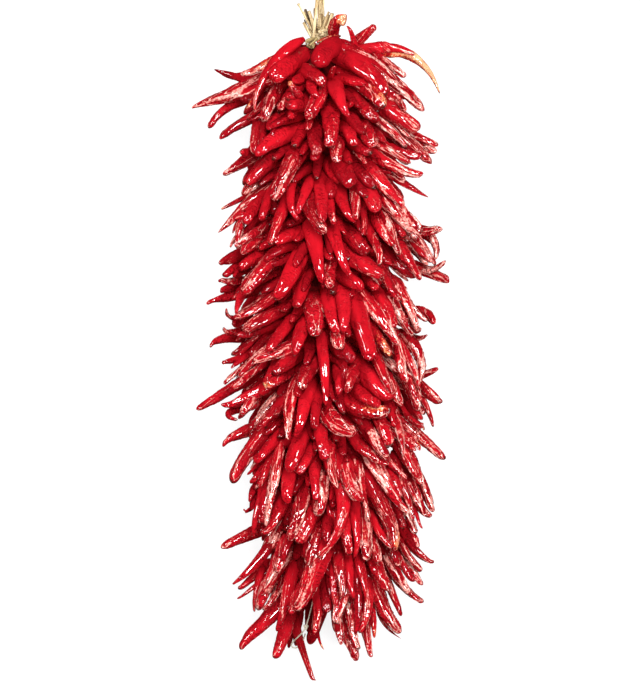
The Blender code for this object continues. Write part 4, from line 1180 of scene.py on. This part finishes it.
def middle_of_bundle(material):
    """The crowded stems and string behind the chillies, as a lumpy heart coloured as painted shade.
    """
    shape = bmesh.new()
    turns = np.linspace(0, 2 * math.pi, CORE_SIDES, endpoint=False)
    rings = []
    for i in range(CORE_RINGS):
        down = CORE_TOP + CORE_LENGTH * i / (CORE_RINGS - 1)
        wide = CORE_RADIUS * math.sin(math.pi * min(1, (i + 4) / 14) / 2)
        wide *= 1 - 0.5 * max(0, i - 26) / 13
        centre = on_model((station(STRING_X, down), down, AXIS_HEIGHT))
        lumps = 1 + 0.16 * np.sin(5 * turns + 1.7 * i) + 0.08 * np.sin(9 * turns - 2.3 * i)
        ring = [centre + wide * lump * np.array([CORE_SPREAD * math.cos(turn), 0, math.sin(turn)])
                for turn, lump in zip(turns, lumps)]
        rings.append([shape.verts.new(place) for place in ring])
    join_rings(shape, rings)
    shape.faces.new(rings[0][::-1])
    shape.faces.new(rings[-1])
    return new_piece("bundle_middle", finished_mesh("bundle_middle", shape), material)


# The chillies that show, gathered by kind: the piece, the finishes in it, and how wrinkled, how
# shiny and how glazed its skin is.
SHOWN_GROUPS = (
    ("plump_chillies", "S", 0.9, 0.4, 1.0), ("creased_chillies", "C", 1.2, 0.7, 1.0),
    ("wrinkled_chillies", "W", 1.5, 1.1, 1.0), ("pale_chillies", "PTLFH", 1.6, 1.3, 1.0),
    ("dark_chillies", "D", 1.2, 0.4, 0.8), ("matte_chillies", "M", 0.6, 0.0, 0.15),
)
# The chillies behind them: the piece and its skin as above, then for each layer its count of tiers,
# the turns that it lies between, in degrees, how many a tier has, and their reach, finishes and
# widths, and how far down their stem ends start and stop.
FILLING_GROUPS = (
    # The inner layer is mostly of the inner finish, coloured dark as painted shade deep between the
    # chillies.
    (("inner_chillies", 1.0, 0.2, 0.5),
     ((26, 22, 158, 7, 0.72, "IID", (0.018, 0.024), 0.045, 0.68),)),
    (("resting_chillies", 1.2, 0.4, 0.6),
     ((24, -195, 15, 8, 1.0, "SCCWWP", (0.018, 0.025), 0.020, 0.695),)),
    (("side_chillies", 1.3, 0.8, 0.8),
     ((26, -22, 34, 2, 1.0, "CWWPP", (0.016, 0.023), 0.030, 0.66),
      (22, 146, 202, 2, 1.0, "CWWP", (0.016, 0.023), 0.030, 0.65))),
)


def chillies():
    """All the chillies: laid out, settled, shaped, and gathered by kind."""
    pods = shown_pods()
    shown_finishes = np.array([finish for line, width, finish, end, shown in pods])
    pieces = []
    for name, letters, *skin in SHOWN_GROUPS:
        chosen = np.flatnonzero(np.isin(shown_finishes, list(letters)))
        pieces.append((name, skin, chosen, RINGS, SIDES))
    for (name, *skin), layers in FILLING_GROUPS:
        first = len(pods)
        for layer in layers:
            pods += filling_pods(*layer)
        pieces.append((name, skin, np.arange(first, len(pods)), BACK_RINGS, BACK_SIDES))
    lines, widths, finishes, ends, shown = (np.array(column) for column in zip(*pods))
    lines = on_model(settle(lines, widths, shown))
    for name, skin, chosen, rings, sides in pieces:
        traits = (values[chosen] for values in (lines, widths, finishes, ends))
        shape = pod_rings(*traits, rings, sides)
        piece = pod_piece(name, *shape, chilli_skin(name.replace("chillies", "chilli_skin"), *skin))
        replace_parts(piece, "chilli_bundle")
    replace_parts(middle_of_bundle(painted_shade_core_skin()), "chilli_bundle")


# ---------------------------------------------------------------- floor, light and camera

# The camera looks straight down. VIEW_HEIGHT is how much of the string's length fits its view, at
# SHOWN_HEIGHT above the floor.
VIEW_HEIGHT = 0.93285
VIEW_MIDDLE = (-0.0003, -0.0060)
CAMERA_HEIGHT = 6.0
SHOWN_HEIGHT = 0.10
SENSOR = 36


def floor():
    bpy.ops.mesh.primitive_plane_add(size=12)
    plane = bpy.context.object
    plane.name = "floor"
    pale = Shader("pale_floor")
    pale.set(Base_Color=(0.18, 0.18, 0.18), Roughness=0.9, Specular_IOR_Level=0.1,
             Emission_Color=(1.0, 1.0, 1.0), Emission_Strength=0.84)
    plane.data.materials.append(pale.material)
    plane.visible_glossy = False


def backdrop():
    """A pale studio wall all round, which casts no light of its own."""
    bpy.ops.mesh.primitive_uv_sphere_add(radius=25, segments=48, ring_count=24)
    wall = bpy.context.object
    wall.name = "backdrop"
    pale = Shader("pale_backdrop")
    pale.set(Base_Color=(0.0, 0.0, 0.0), Specular_IOR_Level=0.0, Emission_Color=(1.0, 1.0, 1.0),
             Emission_Strength=0.86)
    wall.data.materials.append(pale.material)
    wall.visible_diffuse = False
    wall.visible_glossy = False
    wall.visible_shadow = False


def softbox(name, place, size, power, mirrored=True):
    """A soft lamp aimed at the string. An unmirrored one makes no highlights of its own."""
    data = bpy.data.lights.new(name, "AREA")
    data.shape = "RECTANGLE"
    data.size, data.size_y = size
    data.energy = power
    light = bpy.data.objects.new(name, data)
    light.visible_glossy = mirrored
    light.location = place
    aim = Vector((0, 0, SHOWN_HEIGHT)) - Vector(place)
    light.rotation_euler = aim.to_track_quat("-Z", "Y").to_euler()
    bpy.context.scene.collection.objects.link(light)


def studio():
    world = bpy.data.worlds.new("studio")
    world.use_nodes = True
    back = world.node_tree.nodes["Background"]
    back.inputs["Color"].default_value = (1, 1, 1, 1)
    back.inputs["Strength"].default_value = 0.235
    world.cycles_visibility.glossy = False
    bpy.context.scene.world = world
    softbox("overhead_fill", (0.0, 0.3, 4.0), (2.0, 2.0), 66, mirrored=False)
    softbox("near_softbox", (0.35, 0.75, 3.6), (0.45, 0.45), 44)
    softbox("front_softbox", (0.1, 1.75, 2.75), (0.7, 0.7), 80)
    softbox("left_softbox", (-1.7, 0.5, 2.0), (0.5, 0.5), 36)
    softbox("right_softbox", (1.75, -0.25, 1.9), (0.5, 0.5), 52)
    bpy.context.scene.view_settings.view_transform = "Standard"


def camera():
    data = bpy.data.cameras.new("camera")
    data.sensor_fit = "VERTICAL"
    data.sensor_height = SENSOR
    data.lens = SENSOR * (CAMERA_HEIGHT - SHOWN_HEIGHT) / VIEW_HEIGHT
    data.clip_end = 50
    made = bpy.data.objects.new("camera", data)
    made.location = (*VIEW_MIDDLE, CAMERA_HEIGHT)
    bpy.context.scene.collection.objects.link(made)
    bpy.context.scene.camera = made


camera()
straw = straw_skin("straw")
# Brown straw for the brown stalks, near black in its dark fibres as painted shade in the splinters
# between the stalks.
brown_straw_and_gap_shade = straw_skin("brown_straw_and_gap_shade", (0.26, 0.155, 0.062), (0.030, 0.015, 0.006), 0.12)
frayed_straw = straw_skin("frayed_straw", (0.42, 0.32, 0.14), (0.10, 0.065, 0.022), 0.35)
twine = straw_skin("twine", (0.58, 0.47, 0.28), (0.34, 0.21, 0.08))
# The thread's colour is lightened to near white as painted light, since it lies in the chillies'
# shade.
thread = straw_skin("thread", (1.0, 0.95, 0.80), (0.60, 0.48, 0.30))
hanging_loop(twine)
tail_thread(thread)
straw_tuft(straw, brown_straw_and_gap_shade, frayed_straw)
flat_straps(straw)
tie(twine)
chillies()
floor()
backdrop()
studio()
